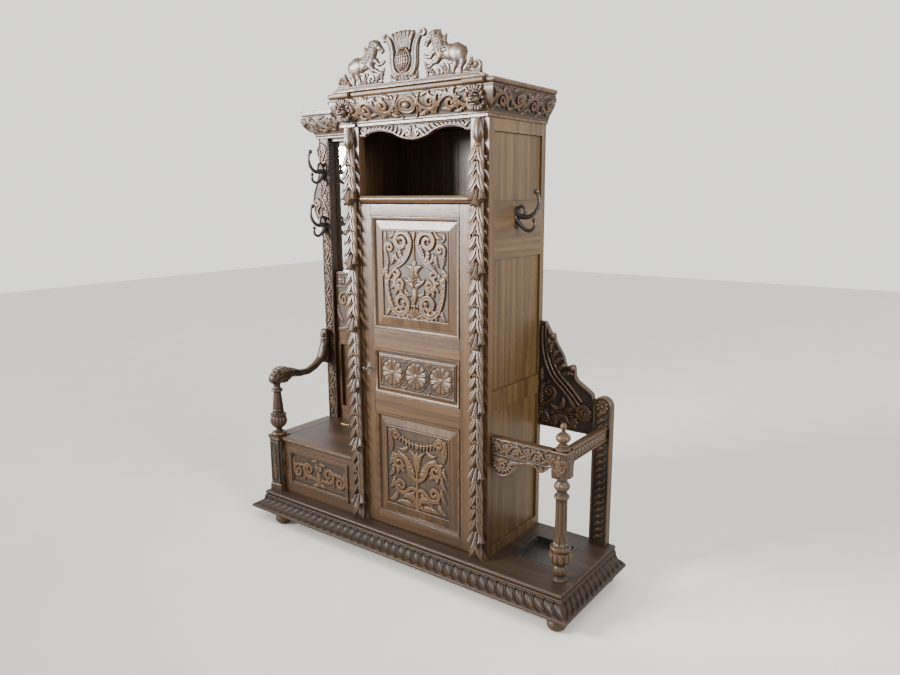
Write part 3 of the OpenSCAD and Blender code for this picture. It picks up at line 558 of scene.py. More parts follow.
def oak(name, dark, light, worn, axis=None, gloss=0.36, recess_shade=(0.008, 0.006, 0.004)):
    """Waxed oak. With no axis the piece brings its own grain and a value per point that lightens rubbed high spots and
    paints shade into hollows; a CAD board names the axis of its grain.
    """
    n = Nodes(name)
    if axis is None:
        along = n.attribute("grain", "Vector")
    else:
        turn = {0: (0, 0, 0), 1: (0, 0, math.pi / 2), 2: (0, math.pi / 2, 0)}[axis]
        place = n.add("ShaderNodeTexCoord").outputs["Object"]
        along = n.add("ShaderNodeMapping", {"Vector": place, "Rotation": turn}).outputs["Vector"]
    figure = n.noise(n.scaled(along, (0.9, 30, 30)), 1.0, 6, 0.6, 0.8)
    cloud = n.noise(n.scaled(along, (1.6, 5, 5)), 1.0, 3)
    fibre = n.noise(n.scaled(along, (9, 420, 420)), 1.0, 3, 0.6)
    pores = n.smooth(n.noise(n.scaled(along, (22, 900, 900)), 1.0, 2), 0.56, 0.68)
    tone = n.math("ADD", n.math("MULTIPLY", figure, 0.72), n.math("MULTIPLY", cloud, 0.28))
    colour = n.mix(n.smooth(tone, 0.38, 0.62), dark, light)
    colour = n.mix(n.smooth(fibre, 0.35, 0.7, 0.0, 0.35), colour, dark)
    colour = n.mix(n.math("MULTIPLY", pores, 0.6), colour, tuple(0.45 * c for c in dark))
    rough = n.math("ADD", n.math("MULTIPLY", cloud, 0.16), gloss - 0.05)
    if axis is None:
        wear_and_shade = n.attribute("wear_and_shade")
        # High spots are rubbed towards the lighter worn tone, as real wear; hollows are mixed towards the near-black
        # colour, which is painted shade, and get rougher.
        rubbed = n.math("MULTIPLY", n.smooth(wear_and_shade, 0.6, 1.0), n.smooth(cloud, 0.3, 0.6, 0.35, 1.0))
        hollow = n.smooth(wear_and_shade, 0.5, 0.1)
        colour = n.mix(n.math("MULTIPLY", rubbed, 0.65), colour, worn)
        colour = n.mix(n.math("MULTIPLY", hollow, 0.9), colour, recess_shade)
        rough = n.math("ADD", rough, n.math("MULTIPLY", hollow, 0.25))
    n.set(Base_Color=colour, Roughness=rough, Specular_IOR_Level=0.26, Coat_Weight=0.04, Coat_Roughness=0.25)
    relief = n.math("SUBTRACT", n.math("MULTIPLY", fibre, 0.5), pores)
    n.bump(relief, 0.00035, 0.5)
    return n.material


def metal(name, colour, tarnish, roughness, metallic):
    """Metal with patches of tarnish and a fine grit."""
    n = Nodes(name)
    place = n.add("ShaderNodeTexCoord").outputs["Object"]
    patch = n.noise(place, 60, 5, 0.6)
    grit = n.noise(place, 900, 3)
    n.set(Base_Color=n.mix(n.smooth(patch, 0.4, 0.65), colour, tarnish), Metallic=metallic,
          Roughness=n.math("ADD", n.math("MULTIPLY", patch, 0.22), roughness - 0.1))
    n.bump(grit, 0.0002, 0.35)
    return n.material


def looking_glass():
    """Silvered glass with a slight haze and a few dull spots."""
    n = Nodes("looking_glass")
    place = n.add("ShaderNodeTexCoord").outputs["Object"]
    spots = n.smooth(n.noise(place, 34, 6, 0.65), 0.62, 0.74)
    haze = n.noise(place, 3, 4)
    n.set(Base_Color=n.mix(n.math("MULTIPLY", spots, 0.25), (0.82, 0.85, 0.84), (0.3, 0.27, 0.22)), Metallic=1.0,
          Roughness=n.smooth(haze, 0.3, 0.8, 0.015, 0.05))
    return n.material


WAXED, DRY = 0.36, 0.52  # roughness
GLOSS = {"oak_low": DRY}
# The darkest tones below are a copy of the oak darkened for the deck, the plinth and the feet: painted shade for the
# dimmer light low down.
OAK_TONES = {
    "oak_carved": ((0.0166, 0.0089, 0.0044), (0.0432, 0.0237, 0.0114), (0.0648, 0.0340, 0.0156)),
    "oak_board": ((0.0244, 0.0126, 0.0053), (0.0585, 0.0303, 0.0125), (0.0814, 0.0411, 0.0166)),
    "oak_low": ((0.0139, 0.0080, 0.0040), (0.0323, 0.0185, 0.0091), (0.0561, 0.0299, 0.0143)),
    "oak_side": ((0.0296, 0.0172, 0.0068), (0.0656, 0.0385, 0.0150), (0.0920, 0.0541, 0.0216)),
}
MATERIALS = {slot: oak(slot, *tones, gloss=GLOSS.get(slot, WAXED)) for slot, tones in OAK_TONES.items()}
for slot, tones in OAK_TONES.items():
    for axis, letter in enumerate("xyz"):
        name = f"{slot}_{letter}"
        MATERIALS[name] = oak(name, *tones, axis=axis, gloss=GLOSS.get(slot, WAXED))
METALS = {  # colour, tarnish, roughness, metallic
    "hook_iron": ((0.03, 0.03, 0.032), (0.05, 0.035, 0.025), 0.42, 0.7),
    "hinge_iron": ((0.16, 0.14, 0.12), (0.07, 0.05, 0.035), 0.4, 0.85),
    "old_brass": ((0.42, 0.29, 0.11), (0.16, 0.1, 0.04), 0.34, 0.85),
    "tray_steel": ((0.012, 0.012, 0.013), (0.03, 0.028, 0.026), 0.45, 0.3),
}
for slot, look in METALS.items():
    MATERIALS[slot] = metal(slot, *look)
MATERIALS["looking_glass"] = looking_glass()


# ---- Camera, floor and light ----

CAMERA_PLACE = (2.0758, -2.5488, 1.6943)
CAMERA_ANGLES = (36.65, 11.24, 0.317)  # yaw, pitch down and roll in degrees
SENSOR, LENS = 36.0, 28.79
LIGHTS = (  # name, place, target, size, power, colour, spread
    ("window", (-2.9, -3.5, 2.75), (0.1, 0, 2.2), (2.3, 1.7), 300, (1, 0.99, 0.97), 58),
    ("ceiling", (0.8, -2.4, 4.2), (0, 0, 0.9), (3.5, 2.5), 15, (1, 0.98, 0.94), 180),
    ("side", (4.4, -0.6, 2.7), (0.9, 0, 2.0), (2.2, 1.8), 80, (1, 0.985, 0.955), 62),
)


def place_camera():
    """The photograph's place and angle: the picture's shape is 900 by 675."""
    yaw, pitch, roll = (math.radians(a) for a in CAMERA_ANGLES)
    data = bpy.data.cameras.new("camera")
    data.sensor_width, data.lens = SENSOR, LENS
    data.clip_end = 100
    obj = bpy.data.objects.new("camera", data)
    bpy.context.scene.collection.objects.link(obj)
    turn = Matrix.Rotation(yaw, 4, "Z") @ Matrix.Rotation(math.pi / 2 - pitch, 4, "X") @ Matrix.Rotation(-roll, 4, "Z")
    obj.matrix_world = Matrix.Translation(CAMERA_PLACE) @ turn
    bpy.context.scene.camera = obj


def area_light(name, place, target, size, power, colour, spread):
    """A soft lamp at place that points at target."""
    data = bpy.data.lights.new(name, "AREA")
    data.shape, data.size, data.size_y, data.energy, data.color = "RECTANGLE", *size, power, colour
    data.spread = math.radians(spread)
    obj = bpy.data.objects.new(name, data)
    bpy.context.scene.collection.objects.link(obj)
    back = (np.array(place, float) - target) / np.linalg.norm(np.array(place, float) - target)
    right = np.cross(Z, back)
    right /= np.linalg.norm(right)
    up = np.cross(back, right)
    obj.matrix_world = Matrix([[right[k], up[k], back[k], place[k]] for k in range(3)] + [[0, 0, 0, 1]])


def studio():
    """A plain pale floor, an even pale sky and three soft lamps."""
    n = Nodes("studio_floor")
    place = n.add("ShaderNodeTexCoord").outputs["Object"]
    n.set(Base_Color=n.mix(n.noise(place, 3, 4), (0.64, 0.62, 0.58), (0.70, 0.68, 0.64)), Roughness=0.6)
    mesh = bpy.data.meshes.new("studio_floor")
    mesh.from_pydata([(-12, -12, 0), (12, -12, 0), (12, 12, 0), (-12, 12, 0)], [], [(0, 1, 2, 3)])
    mesh.materials.append(n.material)
    floor = bpy.data.objects.new("studio_floor", mesh)
    bpy.context.scene.collection.objects.link(floor)
    world = bpy.data.worlds.new("studio")
    world.use_nodes = True
    world.node_tree.nodes["Background"].inputs["Color"].default_value = (1.0, 0.985, 0.95, 1)
    world.node_tree.nodes["Background"].inputs["Strength"].default_value = 1.6
    bpy.context.scene.world = world
    for light in LIGHTS:
        area_light(*light)


place_camera()
studio()


# ---- Boards that stay as the CAD made them ----

CAD_BOARDS = {  # by the axis of their grain
    0: ("deck_board", "plinth_bearers", "seat_lid", "seat_surround", "seat_front_frame", "niche_shelf",
        "bed_moulding", "cornice_top"),
    1: ("hook_board_right", "seat_side_panel"),
    2: ("cabinet_back_boards", "front_stiles", "side_frame_left", "side_frame_right", "side_panels_left",
        "side_panels_right", "back_bay_frame", "back_plain_panel"),
}
WELD, EASE = 0.00002, 0.0012  # metres


def dress(node, material):
    """Gives a CAD node its material, joins its split edges and eases them."""
    obj = NODES[node]
    obj.data.materials.clear()
    obj.data.materials.append(material)
    weld = obj.modifiers.new("weld", "WELD")
    weld.merge_threshold = WELD
    ease = obj.modifiers.new("ease", "BEVEL")
    ease.width, ease.segments, ease.angle_limit = EASE, 2, math.radians(32)
    ease.harden_normals = True
    ease.use_clamp_overlap = True


for axis, nodes in CAD_BOARDS.items():
    for node in nodes:
        # the deck takes the darker low copy of the oak, as painted shade
        slot = "oak_low" if node == "deck_board" else SLOT_OF[node]
        dress(node, MATERIALS[f"{slot}_{'xyz'[axis]}"])
for node, slot in SLOT_OF.items():
    if slot not in OAK_TONES:
        dress(node, MATERIALS[slot])


# ---- Door ----

OVOLO = [(0, 0), (0, 12.5), (1.5, 15.5), (4.5, 16), (6, 14.2), *arc((6, 2), 12, 88, 6, 8), (19.5, 2.2), (20, 0)]


def raised_panel(node, border, draw, bead=5.5, ground=5.5, step=1.45):
    """A panel with a sloping border, a bead and a sunk field that draw(relief, half_width, half_height) carves."""
    low, high = box(node)
    half, centre = (high - low) / 2, (high + low) / 2
    u, v = (field_grid(-half[k], half[k], border - 8, step) for k in (0, 2))
    relief = Relief(u, v)
    inwards = np.minimum(half[0] - np.abs(relief.u)[:, None], half[2] - np.abs(relief.v)) - border
    tilt = np.interp(inwards, [-border, -border + 18, -4, 0.1 - 4], [0, 0.5, 7.5, 7.5])
    q = np.clip(np.abs(inwards - bead / 2) / (bead / 2), 0, 1)
    rim = np.where(inwards > -0.5, 8.5 + 2.5 * np.sqrt(1 - q * q), 0) * (inwards < bead)
    draw(relief, half[0] - border - bead, half[2] - border - bead)
    inside = inwards > bead - 0.2
    relief.h = np.where(inside, ground + relief.h, np.maximum(tilt, rim))
    face = [(0, -half[2]), (0, half[2])]
    back = [(-7.5, half[2]), (-7.5, -half[2])]
    solid = carved(relief, face, back, (centre[0], low[1] + 10, centre[2]), X, -Y)
    # the sunk ground gets a lift of 0, so it is painted darker as shade; the carving on it is rubbed lighter
    lift = np.where(inside, np.clip((relief.h - ground) / 7, 0, 1), 0.5)
    lift = np.concatenate([lift, np.full((len(lift), len(back)), 0.5)], 1).ravel()
    solid = *solid[:3], lift
    return piece(node.replace("door_", "carved_door_"), solid, node, grain=2, slot="oak_board", depth=1.7)


def carve_top_panel(r, w, h):
    """Scrolls and leaves on both sides of a flower."""
    def half(m, hand):
        tall = volute((-104, 36), (-72, 146), 55, -30, 1.45, 66)
        r.scroll(m(tall), 13, 9)
        r.fringe(m(bezier((-100, 44), (-34, 60), (-28, 120))), 6, 40, 10, 7, hand, 48, 0.05, 0.9)
        r.leaves([(-66, 66, -74, 118, 13, 8, 0.15, 4), (-84, 60, -104, 100, 11, 7, 0.2, 4),
                  (-120, 92, -136, 42, 12, 7, 0.2, 4), (-158, h * 0.97, -152, 146, 10, 6, -0.2, 3),
                  (-112, 190, -156, 166, 10, 6, 0.25, 4), (-40, h * 0.98, -92, h * 0.95, 7, 5, 0.1, 3),
                  (-150, 30, -174, -16, 12, 7, -0.2, 4), (-18, -84, -52, -58, 11, 7, 0.3, 4),
                  (-8, 6, -46, 40, 14, 7.5, -0.25, 5), (-14, -22, -58, -12, 12, 7, 0.25, 4),
                  (-10, -56, -44, -36, 11, 7, -0.2, 4), (-7, 66, -14, 14, 8, 6, 0.1, 4),
                  (-24, -162, -62, -186, 11, 6.5, 0.2, 4), (-150, -146, -174, -186, 11, 6, 0.2, 4)], m, hand)
        outer = volute((-150, 44), (-140, 116), 27, 215, -1.25, 26)
        r.scroll(m(outer), 9, 8)
        r.fringe(m(bezier((-150, 34), (-170, 74), (-166, 116))), 5, 26, 9, 6.5, -hand, 35, 0.0, 0.95)
        middle = volute((-114, 24), (-84, -38), 34, 110, 1.45, 30)
        r.scroll(m(middle), 11, 8.5)
        r.fringe(m(spiral((-84, -38), 37, 28, 110, 0.55)), 6, 30, 10, 7, -hand, 48, 0.0, 1.0)
        r.fringe(m(bezier((-112, 22), (-150, 4), (-160, -40))), 5, 32, 11, 7, hand, 38, 0.0, 0.9)
        lower = volute((-158, 18), (-76, -124), 60, 195, 1.5, 66)
        r.scroll(m(lower), 13, 9)
        r.fringe(m(bezier((-160, 8), (-172, -66), (-140, -134))), 7, 36, 11, 7.5, hand, 42, 0.05, 0.98)
        r.fringe(m(spiral((-76, -124), 46, 34, 215, 0.55)), 5, 24, 9, 6.5, hand, 55, 0, 1)
        r.fringe(m(spiral((-76, -124), 64, 62, 200, 0.42)), 7, 22, 9, 6, -hand, 50, 0.0, 1.0)
    r.pair(half)
    r.stroke([(0, 176), (0, 20)], [3.5, 4.5], 5)
    r.leaves([(0, h, 0, 150, 11, 8, 0, 3), (0, -58, 0, -122, 18, 8.5, 0, 5)])
    r.rosette((0, -20), 36, 6, 8.5)
    r.rosette((0, -20), 20, 6, 11, 0.5, 0.4)
    r.shell((0, -190), 50, 8, 7, 150, 90)
    r.dome((0, -134), 9, 9)


def carve_middle_panel(r, w, h):
    """Three rosettes in a row."""
    radius = min(w / 3, h) * 0.96
    for k in (-1, 0, 1):
        x = k * w * 2 / 3
        r.rosette((x, 0), radius * 0.93, 12, 6.5, 0.26, 0.2)
        r.stroke(arc((x, 0), radius, 0, 360, 60), 2.3, 4.2)
        for sx in (-1, 1):
            for sy in (-1, 1):
                corner = (x + sx * w / 3, sy * h)
                r.leaf(corner, (x + sx * w / 3 * 0.78, sy * h * 0.74), 5, 4, 0.1, 3)
                r.leaf((x + sx * w / 3, sy * h * 0.98), (x + sx * w / 3, sy * h * 0.5), 4.5, 3.6, 0, 2)


def carve_bottom_panel(r, w, h):
    """A plant with scrolls under a small festoon."""
    def half(m, hand):
        r.scroll(m(volute((-150, 84), (-128, 154), 30, 215, -1.4, 26)), 10, 8.5)
        r.fringe(m(bezier((-150, 74), (-174, 112), (-160, 168))), 6, 24, 9, 6.5, -hand, 30, 0.0, 1.0)
        r.scroll(m(volute((-3, -44), (-104, 22), 47, 0, 1.4, 56)), 12, 9)
        r.fringe(m(bezier((-4, -50), (-40, 66), (-104, 72))), 8, 42, 12, 8, hand, 42, 0.2, 1.0)
        r.fringe(m(spiral((-104, 22), 42, 28, 120, 0.6)), 6, 28, 10, 7, -hand, 50, 0, 1)
        r.scroll(m(volute((-8, -92), (-96, -86), 41, -30, -1.35, 44)), 11, 8.5)
        r.fringe(m(bezier((-20, -108), (-60, -150), (-120, -120))), 6, 30, 10, 7, -hand, 40, 0.0, 1.0)
        r.leaves([(-6, -150, -90, -152, 19, 8.5, -0.28, 6), (-24, -178, -132, -176, 17, 8, -0.1, 7),
                  (-122, -128, -172, -170, 16, 7.5, 0.2, 5), (-138, -56, -170, -116, 14, 7, 0.15, 5),
                  (-140, -4, -172, -56, 13, 7, 0.15, 5), (-150, 46, -174, 0, 13, 7, 0.2, 4),
                  (-10, 30, -46, 98, 14, 8, -0.2, 5), (-24, 18, -64, 60, 12, 7, 0.15, 4),
                  (-56, 108, -112, 100, 12, 7, 0.25, 5)], m, hand)
        for k in range(6):
            x, z = -100 + 19 * k, 152 - 26 * math.sin(math.pi * (k + 0.5) / 12)
            r.leaf(m((x, z + 6)), m((x + 2, z - 24)), 7.5, 7.5, 0, 2)
            r.dome(m((x, z + 9)), 5.6, 7)
    r.pair(half)
    r.stroke([(0, -178), (0, -60), (0, 30)], [13, 7, 9], 8)
    r.leaf((0, 0), (0, 96), 21, 9.5, 0, 5)
    r.rosette((0, 40), 18, 6, 10)
    r.shell((0, -184), 42, 8.5, 5, 140, 90)
    r.stroke(bezier((-118, 160), (0, 96), (118, 160), 24), 4, 6)


def build_door():
    """The door's boards, its moulded frames and its three raised panels."""
    low, high = box("door_frame")
    rails = [box(f"door_panel_{name}") for name in ("bottom", "middle", "top")]
    left, right, leaf = rails[0][0][0], rails[0][1][0], 1.6
    heights = [low[2], *[edge for a, b in rails for edge in (a[2], b[2])], high[2]]
    parts = [(low, (left, high[1], high[2]), 2), ((right, low[1], low[2]), (high[0] - leaf, high[1], high[2]), 2)]
    parts += [((left, low[1], a), (right, high[1], b), 0) for a, b in zip(heights[::2], heights[1::2])]
    boards("door_boards", "door_frame", parts)
    frames = [(picture_frame(a[[0, 2]], b[[0, 2]], OVOLO, a[1] + 10, -Y), 0) for a, b in rails]
    boards("door_ovolo", "door_mouldings", [], frames, depth=12, rounds=2)
    raised_panel("door_panel_top", 58, carve_top_panel)
    raised_panel("door_panel_middle", 30, carve_middle_panel)
    raised_panel("door_panel_bottom", 58, carve_bottom_panel)


# ---- Plinth ----

LIP = 57  # how far the plinth stands out past the deck


def flare_face(top, foot):
    """The plinth moulding's visible outline, from the deck down to the lip, as [outwards, up]."""
    beads = [*arc((1, top - 5.5), 4.5, 90, -60, 6), *arc((4.5, top - 13), 3.5, 70, -60, 5)]
    flare = bezier((6, top - 17), (11, top - 40), (LIP - 12, foot + 23), 12)
    nose = arc((LIP - 10.5, foot + 11), 9.5, 80, -80, 10)
    return np.concatenate([[(-4, top - 0.5)], beads, flare, nose, [(LIP - 14, foot)]])


def gadroons(relief, pitch, low, high, height, lean=0.0):
    """A row of upright lobes with a veined middle and a small dart between each two."""
    length = relief.u[-1] - relief.u[0]
    count = int(round(length / pitch))
    pitch = length / count
    for k in range(count):
        x = relief.u[0] + (k + 0.5) * pitch
        a, b = (x - lean / 2, low), (x + lean / 2, high)
        spine = bezier(a, (x - lean * 0.1, (low + high) / 2), b, 12)
        relief.stroke(spine, pitch * np.array([0.16, 0.34, 0.42, 0.40, 0.26]),
                      height * np.array([0.6, 1, 1, 1, 0.7]), leafy(2))
        dart = (x + pitch / 2 - lean / 2, low + 3), (x + pitch / 2 + lean / 2, high - 5)
        relief.stroke(dart, [pitch * 0.05, pitch * 0.11, pitch * 0.07], height * 0.62, rib)


def plinth_run(foot, top, along, out, start, length, corner, pitch, lean):
    """One straight side of the plinth, as a solid with gadroons."""
    face = flare_face(top, foot)
    total = length_of(face)
    relief = Relief(spaced(0, length, 1.9), spaced(0, total, 1.9))
    gadroons(relief, pitch, 24, total - 38, 6.0, lean)
    return carved(relief, face, [(-20, foot), (-20, top - 0.5)], start, along, out, corner)


def build_plinth():
    """The gadrooned plinth on three sides, and the four turned feet."""
    low, high = box("plinth_mouldings")
    left, right, front = low[0] + LIP, high[0] - LIP, low[1] + LIP
    sides = ((X, -Y, (left, front, 0), right - left, (1, 1), 44, 3),
             (Y, X, (right, front, 0), high[1] - front, (1, 0), 40, -9),
             (Y, -X, (left, front, 0), high[1] - front, (1, 0), 40, -9))
    runs = [(plinth_run(low[2], high[2], *side), int(np.argmax(side[0]))) for side in sides]
    boards("plinth_carving", "plinth_mouldings", [], runs, slot="oak_carved", depth=1.6)
    low, high = box("bun_feet")
    bulge = [(41 * math.cos(a), 27.5 + 31 * math.sin(a)) for a in np.radians(np.arange(-60, 61, 10))]
    ball = [(0, 0), (20, 0), *bulge, (24, 55), (0, 55)]
    feet = [turned(ball, (x, y, 0), 48) for x in (low[0] + 41, high[0] - 41) for y in (low[1] + 41, high[1] - 41)]
    piece("turned_feet", joined(feet), "bun_feet", slot="oak_carved")
    # the plinth and the feet take the darker low copy of the oak, as painted shade
    for name in ("plinth_carving", "turned_feet"):
        bpy.data.objects[name].data.materials[0] = MATERIALS["oak_low"]


# ---- Carved boards and clay forms ----

def plate(u, low, high, step, draw, place, thick, name, node, grain=2, ease=1.6, **options):
    """A board with a carved face. low and high are its two edges at every u, and place(u, v, w) gives the point
    at height w over the face."""
    u = np.asarray(u, float)
    low, high = np.broadcast_to(low, u.shape), np.broadcast_to(high, u.shape)
    s = spaced(0, 1, step / max((high - low).max(), step))
    relief = Relief(u, low[:, None] + s * (high - low)[:, None])
    draw(relief)
    ends = relief.v[:, [-1, 0]]
    wide = np.broadcast_to(u[:, None], relief.v.shape)
    front = place(wide, relief.v, relief.h)
    border = place(wide[:, :2], ends, np.full(ends.shape, -ease))
    back = place(wide[:, :2], ends, np.full(ends.shape, -float(thick)))
    rings = np.concatenate([front, border[:, :1], back, border[:, 1:]], 1)
    return piece(name, (*loft(rings), lift_of(relief, 4)), node, grain=grain, **options)


def facing(origin, along, out, up=Z):
    """place(u, v, w) for a flat face: u along, v up, w outwards."""
    origin = np.array(origin, float)
    return lambda u, v, w: origin + u[..., None] * along + v[..., None] * up + w[..., None] * out


def swapped(points):
    """Points with their two coordinates exchanged."""
    return np.array(points, float)[..., ::-1]


def vine(r, low, high, middle, radius, count, height=6.0, upright=False, width=None, first=1):
    """A running scroll: coils that turn up and down in turn, with leaves along their stems."""
    m = swapped if upright else plain
    hand = -1 if upright else 1
    pitch = (high - low) / count
    w = width or radius * 0.24
    for k in range(count):
        flip = first * (1 if k % 2 else -1)
        x = low + (k + 0.5) * pitch
        centre = (x + pitch * 0.08, middle + flip * radius * 0.12)
        path = volute((x - pitch * 0.62, middle + flip * radius * 0.75), centre, radius * 0.74, -flip * 125,
                      flip * 1.35, pitch * 0.28)
        r.scroll(m(path), w, height)
        r.fringe(m(path[:len(path) // 2]), 6, radius * 0.72, w * 1.3, height * 0.9, -flip * hand, 42, 0.08, 0.98)
        r.leaves([(x + pitch * 0.30, middle - flip * radius * 0.55, x + pitch * 0.52, middle + flip * radius * 0.95,
                   w * 1.6, height * 0.95, 0.15 * flip, 4),
                  (x + pitch * 0.22, middle - flip * radius * 0.35, x + pitch * 0.44, middle + flip * radius * 0.45,
                   w * 1.3, height * 0.9, -0.15 * flip, 4)], m, hand)
        r.leaves([(x - pitch * 0.16, middle - flip * radius * 0.74, x - pitch * 0.52, middle - flip * radius, w * 1.4,
                   height * 0.85, 0.1, 4),
                  (x + pitch * 0.06, middle - flip * radius * 0.80, x + pitch * 0.34, middle - flip * radius, w * 1.3,
                   height * 0.85, 0.1, 3),
                  (x - pitch * 0.3, middle + flip * radius * 0.8, x + pitch * 0.1, middle + flip * radius * 1.0,
                   w * 1.2, height * 0.8, 0.1, 3)], m)


class Clay:
    """A form built from rounded shapes that melt into each other, kept as distances on a grid of points."""

    def __init__(self, low, high, step=1.6):
        self.low, self.step = np.array(low, float) - 3 * step, step
        count = np.ceil((np.array(high, float) + 3 * step - self.low) / step).astype(int)
        self.axes = [self.low[k] + step * np.arange(count[k]) for k in range(3)]
        self.d = np.full(count, 50.0)

    def window(self, low, high):
        """The part of the grid between two corners, and its coordinates."""
        cut = [slice(*np.clip(np.searchsorted(a, [p, q]), 0, len(a))) for a, p, q in zip(self.axes, low, high)]
        x, y, z = (a[c] for a, c in zip(self.axes, cut))
        return tuple(cut), x[:, None, None], y[None, :, None], z[None, None, :]

    def melt(self, cut, new, blend):
        """Joins a shape's distances to the form, with a fillet of about the size of blend."""
        old = self.d[cut]
        h = np.clip(0.5 + 0.5 * (old - new) / blend, 0, 1)
        self.d[cut] = old + (new - old) * h - blend * h * (1 - h)

    def ball(self, centre, radii, blend=3.0):
        centre, radii = np.array(centre, float), np.array(radii, float) * np.ones(3)
        pad = radii + 3 * blend
        cut, x, y, z = self.window(centre - pad, centre + pad)
        q = np.sqrt(((x - centre[0]) / radii[0]) ** 2 + ((y - centre[1]) / radii[1]) ** 2
                    + ((z - centre[2]) / radii[2]) ** 2)
        self.melt(cut, (q - 1) * radii.min(), blend)

    def tube(self, points, radii, flat=1.0, blend=3.0, depth=0.0):
        """Rounded bars along points. A point has two coordinates (across and up, at the given depth) or three.
        flat is the thickness in depth as a part of the width."""
        points = np.asarray(points, float)
        if points.shape[1] == 2:
            points = np.stack([points[:, 0], np.full(len(points), float(depth)), points[:, 1]], -1)
        radii = spread(radii, len(points))
        pad = radii.max() + 3 * blend
        for a, b, ra, rb in zip(points, points[1:], radii, radii[1:]):
            cut, x, y, z = self.window(np.minimum(a, b) - pad, np.maximum(a, b) + pad)
            e = b - a
            scale = e[0] ** 2 + e[2] ** 2 + (e[1] / flat) ** 2
            along = (x - a[0]) * e[0] + (z - a[2]) * e[2] + (y - a[1]) * e[1] / flat ** 2
            t = np.clip(along / max(scale, TINY), 0, 1)
            q = np.sqrt((x - a[0] - t * e[0]) ** 2 + ((y - a[1] - t * e[1]) / flat) ** 2 + (z - a[2] - t * e[2]) ** 2)
            self.melt(cut, (q - (ra + (rb - ra) * t)) * (0.5 + 0.5 * min(flat, 1)), blend)

    def score(self, points, width, depth):
        """A groove along points (across, up), cut into the front and the back."""
        points = np.asarray(points, float)
        width = spread(width, len(points))
        pad = 2.5 * width.max()
        low, high = points.min(0) - pad, points.max(0) + pad
        cut, x, _, z = self.window((low[0], -1e3, low[1]), (high[0], 1e3, high[1]))
        best = np.full((x.shape[0], z.shape[2]), 9.0)
        for a, b, w in zip(points, points[1:], width):
            e = b - a
            u, v = x[:, 0, :] - a[0], z[0, :, :] - a[1]
            t = np.clip((u * e[0] + v * e[1]) / max(e @ e, TINY), 0, 1)
            best = np.minimum(best, np.hypot(u - t * e[0], v - t * e[1]) / w)
        self.d[cut] += depth * np.exp(-best ** 2)[:, None, :]

    def leaf(self, base, tip, width, flat=0.8, bow=0.0, lobes=3, depth=0.0, blend=1.6):
        """A leaf with lobed edges and a grooved midrib."""
        s, spine = leaf_spine(base, tip, bow, 5 * lobes + 1)
        notched = 1 - 0.32 * np.abs(np.cos(math.pi * lobes * s)) ** 3
        shape = np.sin(math.pi * np.clip(s, 0.12, 0.93) ** 0.75) ** 0.7 * notched
        self.tube(spine, width * np.maximum(shape, 0.12), flat, blend, depth)
        self.score(spine[1:-1], width * 0.16, width * 0.26)
        for k in range(1, lobes + 1):
            i = min(5 * k - 2, len(s) - 2)
            t = (spine[i + 1] - spine[i]) / np.linalg.norm(spine[i + 1] - spine[i])
            n = np.array([-t[1], t[0]])
            for side in (-1, 1):
                self.score([spine[i], spine[i] + t * width * 0.5 + side * n * width * 0.85], width * 0.11, width * 0.16)

    def coil(self, path, width, flat=1.0, groove=0.35, depth=0.0):
        """A scroll that ends in a ball."""
        self.tube(path, [width * 0.8, width, width * 0.9, width * 0.6], flat, 1.2, depth)
        self.score(path[1:], width * 0.4, width * groove)
        self.ball((path[-1][0], depth, path[-1][1]), [width * 1.05, width * 1.05 * flat + 1, width * 1.05], 1.2)

    def solid(self, place=None):
        """The form's skin as (points, quads, caps). place(across, up, depth) moves the points."""
        grid = openvdb.FloatGrid(3.0)
        grid.copyFromArray(np.clip(self.d, -3, 3).astype(np.float32))
        points, quads = grid.convertToQuads()
        points = points.astype(float) * self.step + self.low
        if place is not None:
            points = place(points[:, 0], points[:, 2], points[:, 1])
        return points, quads.astype(np.int64), []


# ---- Cornice ----

FRIEZE_FOOT, FRIEZE_TOP = 1998, 2105
FRIEZE = np.concatenate([[(5, FRIEZE_FOOT), (8, 2006)], bezier((14, 2020), (46, 2058), (45, 2090)),
                         [(43, 2101), (41, FRIEZE_TOP)]])


def frieze(scale, origin, along, out, length, corner, draw, depth=18):
    """One straight side of a frieze that draw(relief, length, total) carves. scale widens its bulge."""
    face = FRIEZE * [scale, 1]
    total = length_of(face)
    relief = Relief(spaced(0, length, 1.7), spaced(0, total, 1.7))
    relief.stroke([(-9, 4.5), (length + 9, 4.5)], 4.5, 2.5)
    relief.stroke([(-9, total - 4), (length + 9, total - 4)], 4, 2)
    draw(relief, length, total)
    return carved(relief, face, [(-depth, FRIEZE_TOP), (-depth, FRIEZE_FOOT)], origin, along, out, corner)


